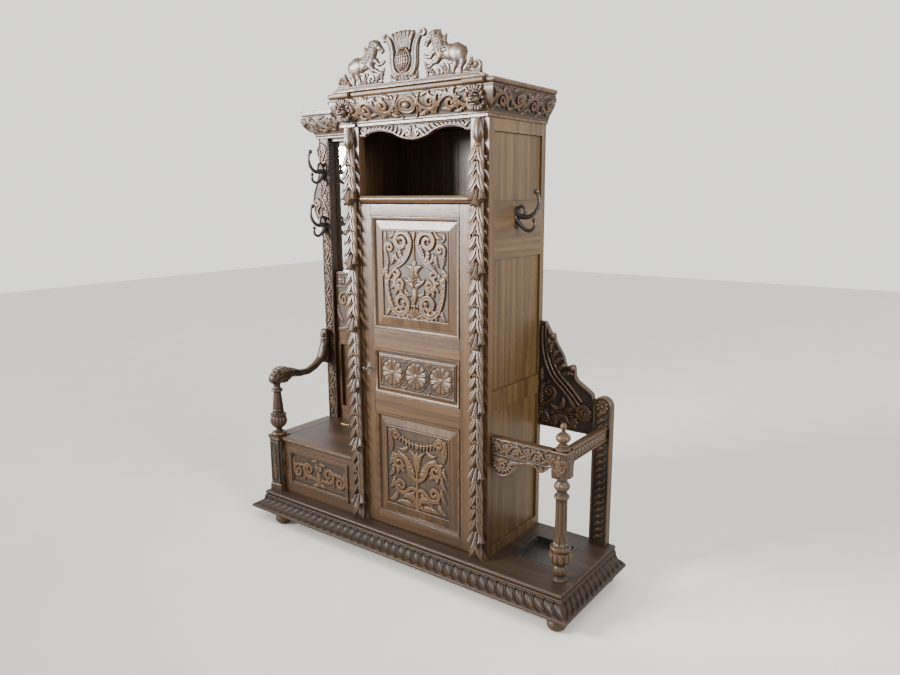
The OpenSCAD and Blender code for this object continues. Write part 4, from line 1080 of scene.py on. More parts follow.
def carve_front_frieze(r, length, total):
    """Three coils a side that run out from an oval in the middle."""
    middle, mid = length / 2 + 4, total * 0.54

    def half(m, hand):
        def at(points):
            return m(points) + [middle, 0]
        for x, flip, radius in ((104, 1, 33), (196, -1, 34), (276, 1, 30)):
            centre = (x + 8, mid + flip * 5)
            path = volute((x - 62, mid + flip * 30), centre, radius, -flip * 125, flip * 1.4, 30)
            r.scroll(at(path), 8.5, 9)
            r.fringe(at(path[:len(path) // 2 + 3]), 7, 30, 9, 8, -flip * hand, 45, 0.1, 0.98)
            r.leaves([(x + 34, mid - flip * 26, x + 50, mid + flip * 38, 12, 8.5, 0.16 * flip, 4),
                      (x + 22, mid - flip * 20, x + 34, mid + flip * 26, 9, 8, -0.16 * flip, 4),
                      (x - 14, mid - flip * 32, x - 54, mid - flip * 44, 11, 7.5, 0.1, 4),
                      (x + 2, mid - flip * 36, x + 36, mid - flip * 46, 10, 7.5, 0.1, 4),
                      (x - 30, mid + flip * 30, x + 14, mid + flip * 44, 9, 7, 0.1, 4)], at, hand)
        r.leaves([(60, mid + 14, 74, total - 9, 8, 6, 0.2, 3), (58, mid - 12, 82, 14, 9, 6, -0.2, 4)], at, hand)
        r.stroke(at(bezier((36, 14), (68, mid), (34, total - 14), 16)), [3, 5, 3], 6.5, channel)
        r.dome(at((35, total - 15)), 6, 7)
        r.dome(at((36, 13)), 6, 7)
    r.pair(half)
    angles = np.radians(np.arange(0, 361, 8))
    r.stroke(np.stack([middle + 42 * np.cos(angles), mid + 31 * np.sin(angles)], -1), 5, 8)
    r.stroke(np.stack([middle + 32 * np.cos(angles), mid + 22 * np.sin(angles)], -1), 8, 4.5)
    r.lay(middle - 24, middle + 24,
          lambda u, v: 13 * np.sqrt(np.clip(1 - ((u - middle) / 19) ** 2 - ((v - mid) / 14) ** 2, 0, 1)))


def carve_side_frieze(count, first=1):
    """A draw function: a vine of count coils with leaves between them."""
    def draw(r, length, total):
        vine(r, 6, length - 4, total * 0.54, 38, count, 9, first=first, width=8)
        for k in range(count + 1):
            x = 6 + (length - 10) * k / count
            r.leaves([(x, 12, x + 20, total * 0.42, 8, 5.5, -0.2, 3),
                      (x, total - 10, x - 18, total * 0.6, 7, 5, -0.2, 3)])
    return draw


def build_mask(centre):
    """A grotesque mask with a leafy beard and brows, on a block that follows the frieze's bulge."""
    clay = Clay((-42, -76, -2), (42, 44, 109), 1.5)
    for z in (16, 46, 76, 92):
        clay.tube([(-26, 24, z), (26, 24, z)], 20, 1.0, 3)
    for z, out in ((6, 10), (22, 20), (40, 28), (58, 34), (76, 37), (96, 38)):
        clay.tube([(-35, 14 - out, z), (35, 14 - out, z)], 15, 1.3, 5)
    clay.tube([(-34, -10, 4), (34, -10, 4)], 7, 1.6, 3)
    clay.tube([(-35, -38, 101), (35, -38, 101)], 6.5, 1.4, 3)
    clay.ball((0, -38, 58), [27, 26, 33], 4)
    clay.tube([(0, -62, 72), (0, -67, 52)], [5, 8], 1, 3)
    for s in (-1, 1):
        clay.tube([(s * 3, -62, 70), (s * 13, -63, 77), (s * 25, -52, 74)], [4, 6.5, 4], 1, 2)
        clay.ball((s * 12, -57, 64), 5.5, 1.2)
        clay.score([(s * 5, 63), (s * 12, 58), (s * 20, 63)], 2.2, 2.2)
        clay.score([(s * 6, 68), (s * 13, 71), (s * 20, 67)], 1.8, 2)
        clay.ball((s * 17, -54, 48), [10, 9, 11], 3)
        clay.ball((s * 6, -64, 49), 4.5, 2)
        clay.tube([(s * 1, -64, 41), (s * 13, -60, 43), (s * 22, -50, 36)], [4, 5, 2.5], 1, 1.5)
        for k, (x, z, tip, low) in enumerate(((4, 30, 5, 8), (13, 30, 17, 5), (22, 34, 28, 12), (30, 46, 36, 24))):
            clay.leaf((s * x, z), (s * tip, low), 6.5, 1, 0.1 * s, 2, -46 + 3 * k, 1.2)
        for x, z, tip, high in ((4, 84, 3, 104), (12, 82, 18, 103), (22, 76, 34, 99), (29, 64, 39, 80)):
            clay.leaf((s * x, z), (s * tip, high), 6.5, 1, -0.12 * s, 2, -50, 1.2)
        clay.coil(spiral((s * 33, 56), 8, 3, 90, s * 1.1, 18), 3.2, 1.2, 0.3, -42)
    clay.score([(-11, 37), (0, 35), (11, 37)], 2.6, 4)
    clay.tube([(-9, -58, 31), (9, -58, 31)], 4.5, 1, 1.5)
    return clay.solid(facing(centre, X, Y))


def build_cornice():
    """The cabinet's frieze with its masks, and the cornice over the left bay."""
    low, high = box("front_stiles")
    origin, foot, top = (low[0], low[1], 0), FRIEZE_FOOT, FRIEZE_TOP
    width, back = high[0] - low[0], box("cornice_top")[1][1]
    front = frieze(1, origin, X, -Y, width, (1, 1), carve_front_frieze)
    boards("carved_frieze_front", "frieze_front", [], [(front, 0)], depth=1.6)
    right = frieze(1, (high[0], low[1], 0), Y, X, back - low[1], (1, 0), carve_side_frieze(4))
    left = frieze(1, origin, Y, -X, box("left_cornice")[0][1] - low[1], (1, 0), carve_side_frieze(3))
    closing = ((low[0], back - 12, foot), (high[0] - 18, back, top), 0)
    boards("carved_frieze_sides", "frieze_sides", [closing], [(right, 1), (left, 1)], depth=1.6)
    masks = box("cornice_masks")
    centres = [(x, masks[1][1] - 22, foot) for x in (masks[0][0] + 40, masks[1][0] - 40)]
    piece("carved_masks", joined([build_mask(c) for c in centres]), "cornice_masks", depth=1.6)

    low, high = box("left_cornice")
    left, front = box("back_stile_left")[0][:2]
    corner = (left, front, 0)
    bay, end = 1.16, 1.35  # how much wider the bulge is along the front and at the end
    bay_front = frieze(bay, corner, X, -Y, high[0] - left, (end / bay, 0),
                       lambda r, length, total: vine(r, -20, length - 40, total * 0.55, 38, 5, 8.5, width=8), 40)
    bay_side = frieze(end, corner, Y, -X, high[1] - front, (1 / (end / bay), 0),
                      lambda r, length, total: vine(r, -60, length, total * 0.55, 36, 1, 8, width=8), 40)
    parts = [((low[0], low[1], top + 0.5), (-334, high[1], 2127), 0),
             ((left - 8, front - 8, foot - 11), (-291, high[1], foot), 0),
             ((left + 20, front + 20, foot), (high[0], high[1], top), 0)]
    boards("carved_left_cornice", "left_cornice", parts, [(bay_front, 0), (bay_side, 1)], depth=1.6)


def build_apron():
    """The scalloped board over the niche, with a shell in the middle."""
    low, high = box("apron")
    middle, top = (low[0] + high[0]) / 2, high[2]
    half = np.concatenate([[(0, top - 43), (34, top - 43)], bezier((40, top - 36), (115, top - 12), (190, top - 38)),
                           bezier((215, top - 50), (250, top - 66), (300, top - 69))])
    offset = (high[0] - low[0]) / 2 - 300
    u = spaced(-300 - offset, 300 + offset, 1.6)
    edge = np.interp(300 + offset - np.abs(u), half[:, 0], half[:, 1])

    def draw(r):
        rim = np.stack([u, edge + 6], -1)
        r.stroke(rim, 5, 6)
        r.stroke([(u[0], top - 3), (u[-1], top - 3)], 3, 4)

        def side(m, hand):
            r.scroll(m(volute((60, top - 52), (26, top - 40), 15, 20, 1.3, 16)), 5, 8)
            r.leaves([(12, top - 12, 14, top - 60, 8, 6.5, 0, 3), (262, top - 36, 296, top - 10, 9, 6, 0.1, 4)], m)
            for k in range(11):
                x = 52 + 21 * k
                y = np.interp(300 + offset - x, half[:, 0], half[:, 1])
                r.leaf(m((x + 12, y + 9)), m((x - 10, min(y + 36, top - 5))), 8.5, 7.5, 0.12 * hand, 3)
        r.pair(side)
        r.shell((0, top - 64), 30, 7, 5, 150, 90)
    plate(u, edge, top, 1.6, draw, facing((middle, low[1] + 6, 0), X, -Y), 14, "carved_apron", "apron", grain=0)


# ---- Garlands ----

def garland_blade(base, tip, bow, width, thick=13):
    """One long leaf with a crisp edge and a grooved midrib, through [across, up, forward] points."""
    t = np.linspace(0, 1, 17)[:, None]
    base, tip, bow = (np.array(v, float) for v in (base, tip, bow))
    spine = (1 - t) ** 2 * base + 2 * t * (1 - t) * bow + t ** 2 * tip
    tangent = np.gradient(spine, axis=0)
    tangent /= np.linalg.norm(tangent, axis=1)[:, None]
    side = np.cross(tangent, (0, 0, 1.0))
    side /= np.linalg.norm(side, axis=1)[:, None]
    front = np.cross(side, tangent)
    roof = math.radians(20) * (1 if tip[0] > base[0] else -1)
    side, front = side * math.cos(roof) + front * math.sin(roof), front * math.cos(roof) - side * math.sin(roof)
    q = np.linspace(-1, 1, 15)
    ridge = 0.30 + 0.70 * np.sqrt(np.clip(1 - (np.abs(q) * 1.35 - 0.45) ** 2, 0, 1))
    ridge = ridge * (1 - 0.28 * np.exp(-(q / 0.14) ** 2))
    section = np.concatenate([np.stack([q, ridge], -1), [(0.86, -0.3), (0.45, -1.5), (-0.45, -1.5), (-0.86, -0.3)]])
    across = np.interp(t[:, 0], [0, 0.12, 0.4, 0.66, 0.86, 0.96, 1], [0.45, 0.72, 1, 0.95, 0.62, 0.28, 0.05]) * width
    deep = np.interp(t[:, 0], [0, 0.15, 0.8, 1], [0.6, 1, 0.75, 0.12]) * thick * 0.5
    side, front = (side * across[:, None])[:, None], (front * deep[:, None])[:, None]
    rings = spine[:, None] + section[:, 0, None] * side + section[:, 1, None] * front
    # the blade's back and sides get a lift of 0, which paints shade between the overlapping blades; the ridge is rubbed
    # lighter
    lift = np.concatenate([0.1 + 0.34 * ridge, [0.0] * 4])
    return (*loft(rings), np.tile(lift, len(t)))


def petalled(base, tip, profile, petals=5, cut=0.18):
    """A bell, bud or berry along the line from base to tip: [distance, radius, petal depth] rows, mouths included."""
    base, tip = np.array(base, float), np.array(tip, float)
    axis = (tip - base) / np.linalg.norm(tip - base)
    side = np.cross(axis, (0, 0, 1.0))
    side = side / np.linalg.norm(side) if np.linalg.norm(side) > 0.1 else np.array([1.0, 0, 0])
    other = np.cross(axis, side)
    a = np.linspace(0, 2 * math.pi, 8 * petals, endpoint=False)
    lobe = np.abs(np.cos(petals * a / 2))
    rows = np.array(profile, float)
    radius = rows[:, 1, None] * (1 - cut * rows[:, 2, None] * (1 - lobe) ** 1.2)
    along = rows[:, 0, None] + rows[:, 1, None] * 0.35 * rows[:, 2, None] * (lobe - 0.6)
    around = np.cos(a)[:, None] * side + np.sin(a)[:, None] * other
    rings = base + along[..., None] * axis + radius[..., None] * around
    # the inside of a bell's mouth gets a lift of 0, which paints shade into it
    lift = np.where(np.arange(len(rows))[:, None] <= np.argmax(rows[:, 0]), 0.2 + 0.4 * lobe, 0.0)
    return (*loft(rings), lift.ravel())


def garland_bell(base, tip, width):
    """An open bell flower from its stem at base to its mouth at tip."""
    n = np.linalg.norm(np.array(tip, float) - base)
    neck = [(0, 0.2, 0), (0, 5, 0), (0.12, 8, 0.1), (0.3, 9.5, 0.3)]
    skirt = [(0.55, 0.66, 0.5), (0.8, 0.78, 0.8), (0.94, 0.95, 1), (1, 1.06, 1)]
    inside = [(1, 0.98, 1), (0.9, 0.76, 0.8), (0.7, 0.5, 0.5)]
    rows = [*neck, *[(t, r * width, p) for t, r, p in skirt + inside], (0.6, 0.2, 0)]
    return petalled(base, tip, [(t * n, r, p) for t, r, p in rows], 5, 0.24)


def berry(centre, radius):
    """A small ball with four soft lobes."""
    angles = np.radians(np.arange(-84, 85, 14))
    rows = [(radius * (1 + math.sin(a)), max(radius * math.cos(a), 0.2), 0.4) for a in angles]
    return petalled(np.array(centre, float) - (0, 0, radius), np.array(centre, float) + (0, 0, radius), rows, 4, 0.1)


def garland(top, bottom, side):
    """A hanging garland in [across, up, forward] coordinates: a bud with a ball, pairs of long blades that point down
    and out, berry knots, clusters of three open bells, and two flaring leaves at the foot."""
    solids = []
    clusters, pair_pitch = 7, 53
    pitch = (top - bottom) / (clusters - 0.65)
    for k in range(clusters):
        z = top - k * pitch
        if k == 0:
            bud = [(0, 0.2, 0), (0, 12, 0.4), (12, 17, 0.8), (30, 21, 1), (52, 25, 1), (72, 23, 1), (86, 14, 0.6),
                   (92, 5, 0), (92, 0.2, 0)]
            solids.append(petalled((0, z, 10), (0, z - 92, 17), bud, 6, 0.16))
            solids.append(berry((0, z - 100, 18), 12))
            z -= 92
        else:
            solids.append(garland_bell((-9, z + 36, 9), (-27, z - 26, 27), 19))
            solids.append(garland_bell((9, z + 34, 9), (27, z - 23, 27), 19))
            solids.append(garland_bell((0, z + 22, 16), (0, z - 44, 38), 19))
            z -= 38
        if k == clusters - 1:
            for s in (-1, 1):
                solids.append(garland_blade((s * 3, z + 8, 12), (s * 31, bottom + 1, 33), (s * 14, z - 14, 24), 15))
            break
        count = 3 if k == 0 else 4
        for j in range(count):
            start = z + 8 - pair_pitch * j
            for s in (-side, side):
                low = start - (0 if s == side else 6)
                solids.append(garland_blade((s * 5, low, 11), (s * 37, low - 84, 31), (s * 14, low - 50, 29), 13.5))
            if j == count // 2:
                solids += [berry((x, start - 14 - abs(x) * 0.5, 29), 7.5) for x in (-9, 0, 9)]
    return joined(solids)


def build_garlands():
    """The hanging garlands on the two front posts, each on a rounded core."""
    for name, side in (("garland_left", 1), ("garland_right", -1)):
        low, high = box(name)
        middle = (low[0] + high[0]) / 2
        points, quads, caps, lift = garland(high[2] - 4, low[2] + 4, side)
        points = np.stack([middle + points[:, 0], high[1] - points[:, 2], points[:, 1]], -1)
        core = np.array([(-17, -0.5), (-15, 7), (-7, 13), (7, 13), (15, 7), (17, -0.5)], float)
        rings = np.array([[(middle + x, high[1] - y, z) for x, y in core] for z in spaced(low[2] + 3, high[2], 8)])
        # the core between the blades gets a lift of 0, which paints shade behind the garland
        piece(f"carved_{name}", joined([(points, quads, caps, lift), (*loft(rings), 0.0)]), name, depth=3.2, crease=60)


# ---- Crest ----

def build_cartouche(at, middle, front, floor):
    """The ribbed and scaled shield between its straps, and the board that the crest stands on."""
    clay = Clay((-112, -22, 4), (112, 19, 212), 1.5)
    for s in (-1, 1):
        strap = np.concatenate([bezier((s * 2, 36), (s * 58, 34), (s * 60, 96)),
                                bezier((s * 60, 110), (s * 58, 172), (s * 92, 194))[1:]])
        clay.tube(strap, [15, 16, 16, 16, 14, 11], 0.95, 2)
        clay.score(strap[1:], 6.5, 5.5)
        clay.coil(spiral((s * 100, 192), 12, 6, 120 if s > 0 else 60, -s * 0.9, 16), 8, 1.4, 0.25)
        clay.leaf((s * 14, 34), (s * 62, 22), 15, 0.85, 0.1 * s, 3)
        clay.leaf((s * 30, 18), (s * -18, 46), 11, 0.9, 0.2 * s, 3, -5)
        clay.tube([(s * 40, 22), (s * 64, 30), (s * 70, 50)], [12, 10, 5], 0.9, 2)
    for k in (-2.5, -1.5, -0.5, 0.5, 1.5, 2.5):
        clay.tube([(k * 9, 4, 118), (k * 15, 0, 172), (k * 21, -4, 202 - 0.9 * k * k)], [8, 10.5, 11.5], 0.9, 1)
        clay.score([(k * 10, 140), (k * 20, 210)], [2, 4], 3)
    clay.ball((0, -6, 98), [43, 16, 50], 2)
    for k in range(-3, 4):
        clay.score(bezier((k * 3, 58), (k * 20, 98), (k * 3, 140), 12), 1.9, 2.6)
    for z in (78, 92, 106, 120):
        clay.score([(-30, z), (30, z + 4)], 1.4, 1.2)
    clay.tube(arc((0, 98), 44, -170, -10, 16) * [0.9, 1], 6, 1.3, 1.5, 2)
    u = spaced(-400, 400, 3)
    top = np.interp(400 - np.abs(u), [0, 6, 30], [1.5, 10, 20])

    def mould(r):
        r.stroke([(-400, 4), (400, 4)], 3.5, 2.5)
        r.stroke(np.stack([u, top - 3.5], -1), 3, 2)
    plate(u, 0, top, 2.5, mould, facing((middle, front + 7, floor), X, -Y), 33, "crest_board", "crest_cartouche",
          grain=0, crease=35)
    piece("crest_shield", clay.solid(at), "crest_cartouche", grain=0, depth=2)


def build_beasts(at):
    """A maned beast that leans on the shield, over scrolls and leaves, and its mirror image."""
    clay = Clay((88, -17, 14), (318, 17, 198), 1.5)
    body = [(280, 96), (262, 100), (232, 104), (200, 112), (184, 120)]
    clay.tube(body, [30, 34, 28, 27, 31], 0.46, 8)
    clay.tube([(188, 128), (172, 152), (158, 172)], [32, 27, 20], 0.5, 6)
    clay.tube([(160, 178), (142, 172), (126, 158), (112, 148)], [18, 17, 12, 9], 0.8, 4)
    clay.tube([(130, 154), (118, 140)], [8, 6], 0.9, 2)
    clay.score([(108, 149), (126, 154)], 1.8, 3)
    clay.tube([(162, 184), (174, 194)], [6, 3], 1, 2)
    clay.tube([(150, 186), (140, 192)], [5, 2.5], 1, 2)
    for y in (-9.5, 9.5):
        clay.ball((138, y, 170), 4.2, 0.8)
        clay.tube([(150, y * 1.1, 176), (134, y, 178)], [3, 2], 1, 1)
    clay.score([(132, 164), (142, 163)], 1.5, 2)
    for k in range(7):
        x, z = 166 + 6.2 * k, 186 - 11.5 * k
        clay.leaf((x - 12, z - 6), (x + 20, z + 8 - 1.5 * k), 11.5, 1.1, -0.25, 2, 0, 1.2)
        clay.leaf((x - 24, z - 10), (x - 4, z - 30), 10, 1.7, 0.2, 2, 0, 1.2)
    clay.leaf((212, 136), (222, 176), 9, 0.9, 0.25, 3)
    clay.score(bezier((244, 132), (226, 108), (240, 76), 12), 2.5, 2.2)
    clay.score(bezier((204, 134), (196, 112), (206, 92), 12), 2.5, 2)
    clay.tube([(284, 94), (292, 66), (280, 44), (282, 22)], [26, 15, 10, 9], 0.62, 5)
    clay.tube([(262, 78), (256, 56), (246, 40), (248, 22)], [20, 12, 8.5, 8], 0.62, 5)
    clay.tube([(282, 22), (268, 20)], [8, 7], 0.9, 2)
    clay.tube([(248, 21), (234, 20)], [8, 6.5], 0.9, 2)
    clay.tube([(184, 98), (168, 78), (150, 74), (132, 62), (122, 66)], [18, 12, 9, 7.5, 7], 0.75, 3)
    clay.tube([(176, 118), (150, 112), (136, 96), (118, 98), (106, 104)], [17, 11, 8.5, 7, 7], 0.75, 3)
    for path in (volute((232, 30), (176, 42), 20, -40, 1.15, 40), volute((240, 66), (212, 44), 15, 60, -1.0, 16)):
        clay.coil(path, 7.2, 1.0, 0.3)
    clay.leaf((240, 26), (196, 76), 10, 0.9, 0.15, 3)
    clay.leaf((154, 28), (118, 46), 10, 0.9, -0.2, 3)
    clay.leaf((120, 30), (98, 84), 10, 0.8, -0.15, 3)
    clay.tube([(120, 20), (244, 20)], 8, 1.3, 3)
    clay.tube([(288, 112), (302, 112), (308, 98), (300, 84)], [8, 7, 6.5, 5], 0.8, 2)
    points, quads, caps = clay.solid()
    for side, name in ((1, "right"), (-1, "left")):
        solid = at(side * points[:, 0], points[:, 2], points[:, 1]), quads, caps
        piece(f"carved_beast_{name}", solid, f"crest_beast_{name}", grain=0, depth=2)


def build_end_scrolls(at):
    """The small leafy scroll at each end of the crest."""
    clay = Clay((296, -15, 14), (382, 17, 92), 1.4)
    clay.tube([(304, 24), (374, 24)], [12, 8], 1.1, 3)
    clay.leaf((304, 30), (330, 84), 13, 0.9, -0.2, 4)
    clay.leaf((318, 28), (348, 66), 11, 0.9, -0.25, 3)
    clay.coil(volute((316, 30), (358, 46), 15, -20, 0.95, 22), 8, 1.2, 0.3)
    clay.ball((358, 0, 48), [11, 13, 11], 2)
    points, quads, caps = clay.solid()
    both = [(at(s * points[:, 0], points[:, 2], points[:, 1]), quads if s > 0 else quads[:, ::-1], caps)
            for s in (1, -1)]
    piece("carved_end_scrolls", joined(both), "crest_scrolls", grain=0, depth=2)


def build_crest():
    """The pierced group on top of the cornice."""
    low, high = box("crest_cartouche")
    middle, front, floor = (low[0] + high[0]) / 2, low[1], low[2]
    at = facing((middle, front + 20, floor), X, Y)
    build_cartouche(at, middle, front, floor)
    build_beasts(at)
    build_end_scrolls(at)


# ---- Left bay ----

def build_left_stile():
    """The post beside the looking glass: beads, domes and a vine."""
    low, high = box("back_stile_left")
    middle, width = (low[0] + high[0]) / 2, high[0] - low[0]

    def stile(r):
        for x in (-width / 2 + 6, width / 2 - 6):
            r.stroke([(x, low[2]), (x, high[2])], 3.6, 3.6)
            for z in np.arange(470, high[2] - 8, 17):
                r.dome((x, z), 4.6, 5)
        vine(r, 480, high[2] - 20, 0, 22, 17, 7, upright=True, width=5)
    plate(spaced(-width / 2, width / 2, 1.6), low[2], high[2], 1.9, stile, facing((middle, low[1] + 3, 0), X, -Y),
          high[1] - low[1] - 3, "carved_back_stile", "back_stile_left", depth=1.6)


def build_back_panel():
    """The carved panel of the left bay's back."""
    low, high = box("back_carved_panel")
    half, centre = (high - low) / 2, (low + high) / 2

    def panel(r):
        w, h = half[0], half[2]
        r.frame_bead((-w + 8, -h + 8), (w - 8, h - 8), 4.5, 5)
        r.stroke([(-w + 8, h - 78), (w - 8, h - 78)], 4.5, 5.5)
        for k in range(6):
            x = -w + 46 + (2 * w - 92) * k / 5
            r.rosette((x, h - 43), 27, 8, 7, 0.2 * k, 0.26)
            r.leaf((x + 36, h - 14), (x + 38, h - 70), 8, 5, 0, 3)

        def side(m, hand):
            r.scroll(m(volute((10, -h + 30), (110, -h + 118), 48, -60, 1.4, 60)), 11, 8)
            r.fringe(m(bezier((10, -h + 30), (80, -h + 20), (150, -h + 80))), 6, 38, 9, 6.5, -hand, 45)
            r.scroll(m(volute((70, h - 100), (180, h - 150), 34, 60, -1.3, 34)), 9, 7)
            r.leaves([(150, -h + 30, 224, -h + 20, 16, 7, 0.1, 5), (190, -h + 60, 222, -h + 150, 14, 7, 0.15, 5),
                      (60, -h + 180, 36, h - 90, 13, 7, -0.2, 5)], m)
        r.pair(side)
        r.stroke([(0, -h + 22), (0, h - 130)], [34, 20, 12, 18, 28], 10, leafy(5))
        r.rosette((0, h - 118), 30, 8, 10)
        for k in range(5):
            r.stroke([(-26 + 2 * k, -h + 40 + 26 * k), (26 - 2 * k, -h + 58 + 26 * k)], 5, 12)

    def centred(r):
        r.v = r.v - centre[2]
        panel(r)
        r.v = r.v + centre[2]
    plate(spaced(-half[0], half[0], 2), centre[2] - half[2], centre[2] + half[2], 2,
          centred, facing((centre[0], low[1] + 6, 0), X, -Y), 24, "carved_back_panel", "back_carved_panel")


def build_ear():
    """The scrolled board at the left bay's outer edge."""
    low, high = box("ear_bracket")
    outline = np.concatenate([[(0, 1530)], bezier((-30, 1545), (-70, 1590), (-76, 1650)),
                              bezier((-70, 1700), (-40, 1760), (-20, 1820)),
                              bezier((-14, 1870), (-28, 1920), (-26, 1945)), [(-10, 1962)]])
    u = spaced(low[2], high[2], 1.6)
    edge = np.interp(u, outline[:, 1], outline[:, 0])

    def ear(r):
        r.stroke(np.stack([u, edge + 6], -1), 6, 5)
        r.scroll(swapped(volute((-10, 1570), (-42, 1650), 26, -60, 1.5, 40)), 8, 9)
        r.fringe(swapped(bezier((-4, 1550), (-76, 1600), (-60, 1680))), 5, 30, 8, 7, -1, 40)
        r.leaves([(1690, -10, 1790, -30, 14, 9, 0.1, 5), (1600, -8, 1550, -26, 12, 8, 0.1, 4),
                  (1790, -8, 1880, -12, 9, 8, 0.1, 5), (1880, -8, 1950, -20, 10, 8, -0.1, 3)])
    plate(u, edge, 0, 1.6, ear, facing((high[0], low[1] + 4, 0), Z, -Y, X), high[1] - low[1] - 4, "carved_ear",
          "ear_bracket")


def build_seat_panel():
    """The carved front of the box seat."""
    low, high = box("seat_front_panel")
    half, centre = (high - low) / 2, (low + high) / 2
    relief = Relief(spaced(-half[0], half[0], 1.7), spaced(-half[2], half[2], 1.7))
    w, h = half[0] - 14, half[2] - 14
    relief.frame_bead((-w, -h), (w, h), 4.5, 6)

    def side(m, hand):
        for x, flip, radius in ((66, 1, 44), (146, -1, 40)):
            path = volute((x - 60, flip * -44), (x + 6, flip * 12), radius, -flip * 110, flip * 1.4, 34)
            relief.scroll(m(path), 9, 8)
            relief.fringe(m(path[:len(path) // 2 + 2]), 6, 34, 9, 7, flip * hand, 42, 0.1, 0.95)
            relief.leaf(m((x + 40, flip * -50)), m((x + 66, flip * 40)), 12, 7, 0.15 * flip * hand)
        relief.leaves([(0, -60, 46, -64, 13, 7, 0.1, 4), (8, 62, 54, 58, 11, 7, -0.1, 4)], m)
    relief.pair(side)
    relief.leaf((0, -64), (0, 20), 22, 10, 0, 5)
    relief.rosette((0, 36), 26, 8, 9)
    face = [(0, -half[2]), (0, half[2])]
    panel = carved(relief, face, [(-8, half[2]), (-8, -half[2])], (centre[0], low[1] + 6.5, centre[2]), X, -Y)
    piece("carved_seat_panel", panel, "seat_front_panel", grain=0, slot="oak_board", depth=2)


def build_seat_post():
    """The post at the seat's corner, carved on its four sides, between a foot and a cap."""
    low, high = box("seat_post")
    sides = [((low[0] + 4, low[1] + 3.5, 0), X, -Y), ((low[0] + 3.5, high[1] - 3.5, 0), -Y, -X),
             ((high[0] - 2.5, low[1] + 3.5, 0), Y, X),
             ((high[0] - 3, high[1] - 3.5, 0), -X, Y)]
    wide = high[0] - low[0] - 7

    def post(r):
        r.frame_bead((9, low[2] + 48), (wide - 9, high[2] - 36), 3, 3.5)
        r.leaves([(wide / 2, low[2] + 62, wide / 2, low[2] + 170, 17, 7, 0, 5),
                  (wide / 2, low[2] + 150, wide / 2, high[2] - 56, 15, 6.5, 0.05, 4)])
        for s in (-1, 1):
            r.leaves([(wide / 2, low[2] + 64, wide / 2 + s * 20, low[2] + 128, 8, 5, 0.15 * s, 3),
                      (wide / 2, low[2] + 150, wide / 2 + s * 19, low[2] + 206, 7, 5, 0.15 * s, 3)])
    for k, (origin, along, out) in enumerate(sides):
        plate(spaced(0, wide, 1.7), low[2] + 34, high[2] - 20, 1.7, post, facing(origin, along, out), 9,
              f"seat_post_side_{k}", "seat_post", ease=0.4)
    mouldings = []
    for z0, profile in ((low[2], [(0, 0), (3, 0), (3, 20), (1, 26), (1.5, 31), (-2, 36), (-8, 36)]),
                        (high[2] - 22, [(-8, 0), (0, 0), (2.5, 4), (1, 8), (3, 12), (3, 22), (0, 22)])):
        rings = []
        for out, up in profile:
            x0, x1 = low[0] + 1 - out, high[0] - 1.5 + out * 0.5
            y0, y1 = low[1] + 1.5 - out, high[1] - 1.5 + out * 0.5
            rings.append([(x0, y0, z0 + up), (x1, y0, z0 + up), (x1, y1, z0 + up), (x0, y1, z0 + up)])
        mouldings.append((loft(np.array(rings, float)), 0))
    core = ((low[0] + 9, low[1] + 9, low[2] + 2), (high[0] - 9, high[1] - 9, high[2] - 4), 2)
    boards("seat_post_mouldings", "seat_post", [core], mouldings, crease=30)


def build_baluster():
    """The turned baluster under the arm."""
    low, high = box("arm_baluster")
    profile = [(0, 0), (38, 0), (40, 3), (40, 7), (36, 14), (24, 18), (16, 24), (15, 30),
               *bezier((18, 36), (50, 54), (41, 88), 12), (38, 98), (36, 101),
               (42, 106), (42, 113), (38, 115), (30, 119), (27, 124), (30, 130), (30, 135), (27, 140), (28, 150),
               (20, 224), (20, 232), (29, 236), (31, 241), (29, 246),
               (20, 251), (17, 262), (20, 276), (26, 279), (0, 280)]

    def baluster(z, a):
        gadroon = 1 + 0.09 * (np.abs(np.cos(7 * a)) - 0.6) * ((z > 32) & (z < 98))
        return gadroon + 0.03 * (np.abs(np.cos(6 * a)) - 0.6) * ((z > 106) & (z < 114))
    post = turned(profile, ((low[0] + high[0]) / 2, (low[1] + high[1]) / 2, low[2]), 112, baluster)
    piece("turned_baluster", post, "arm_baluster")


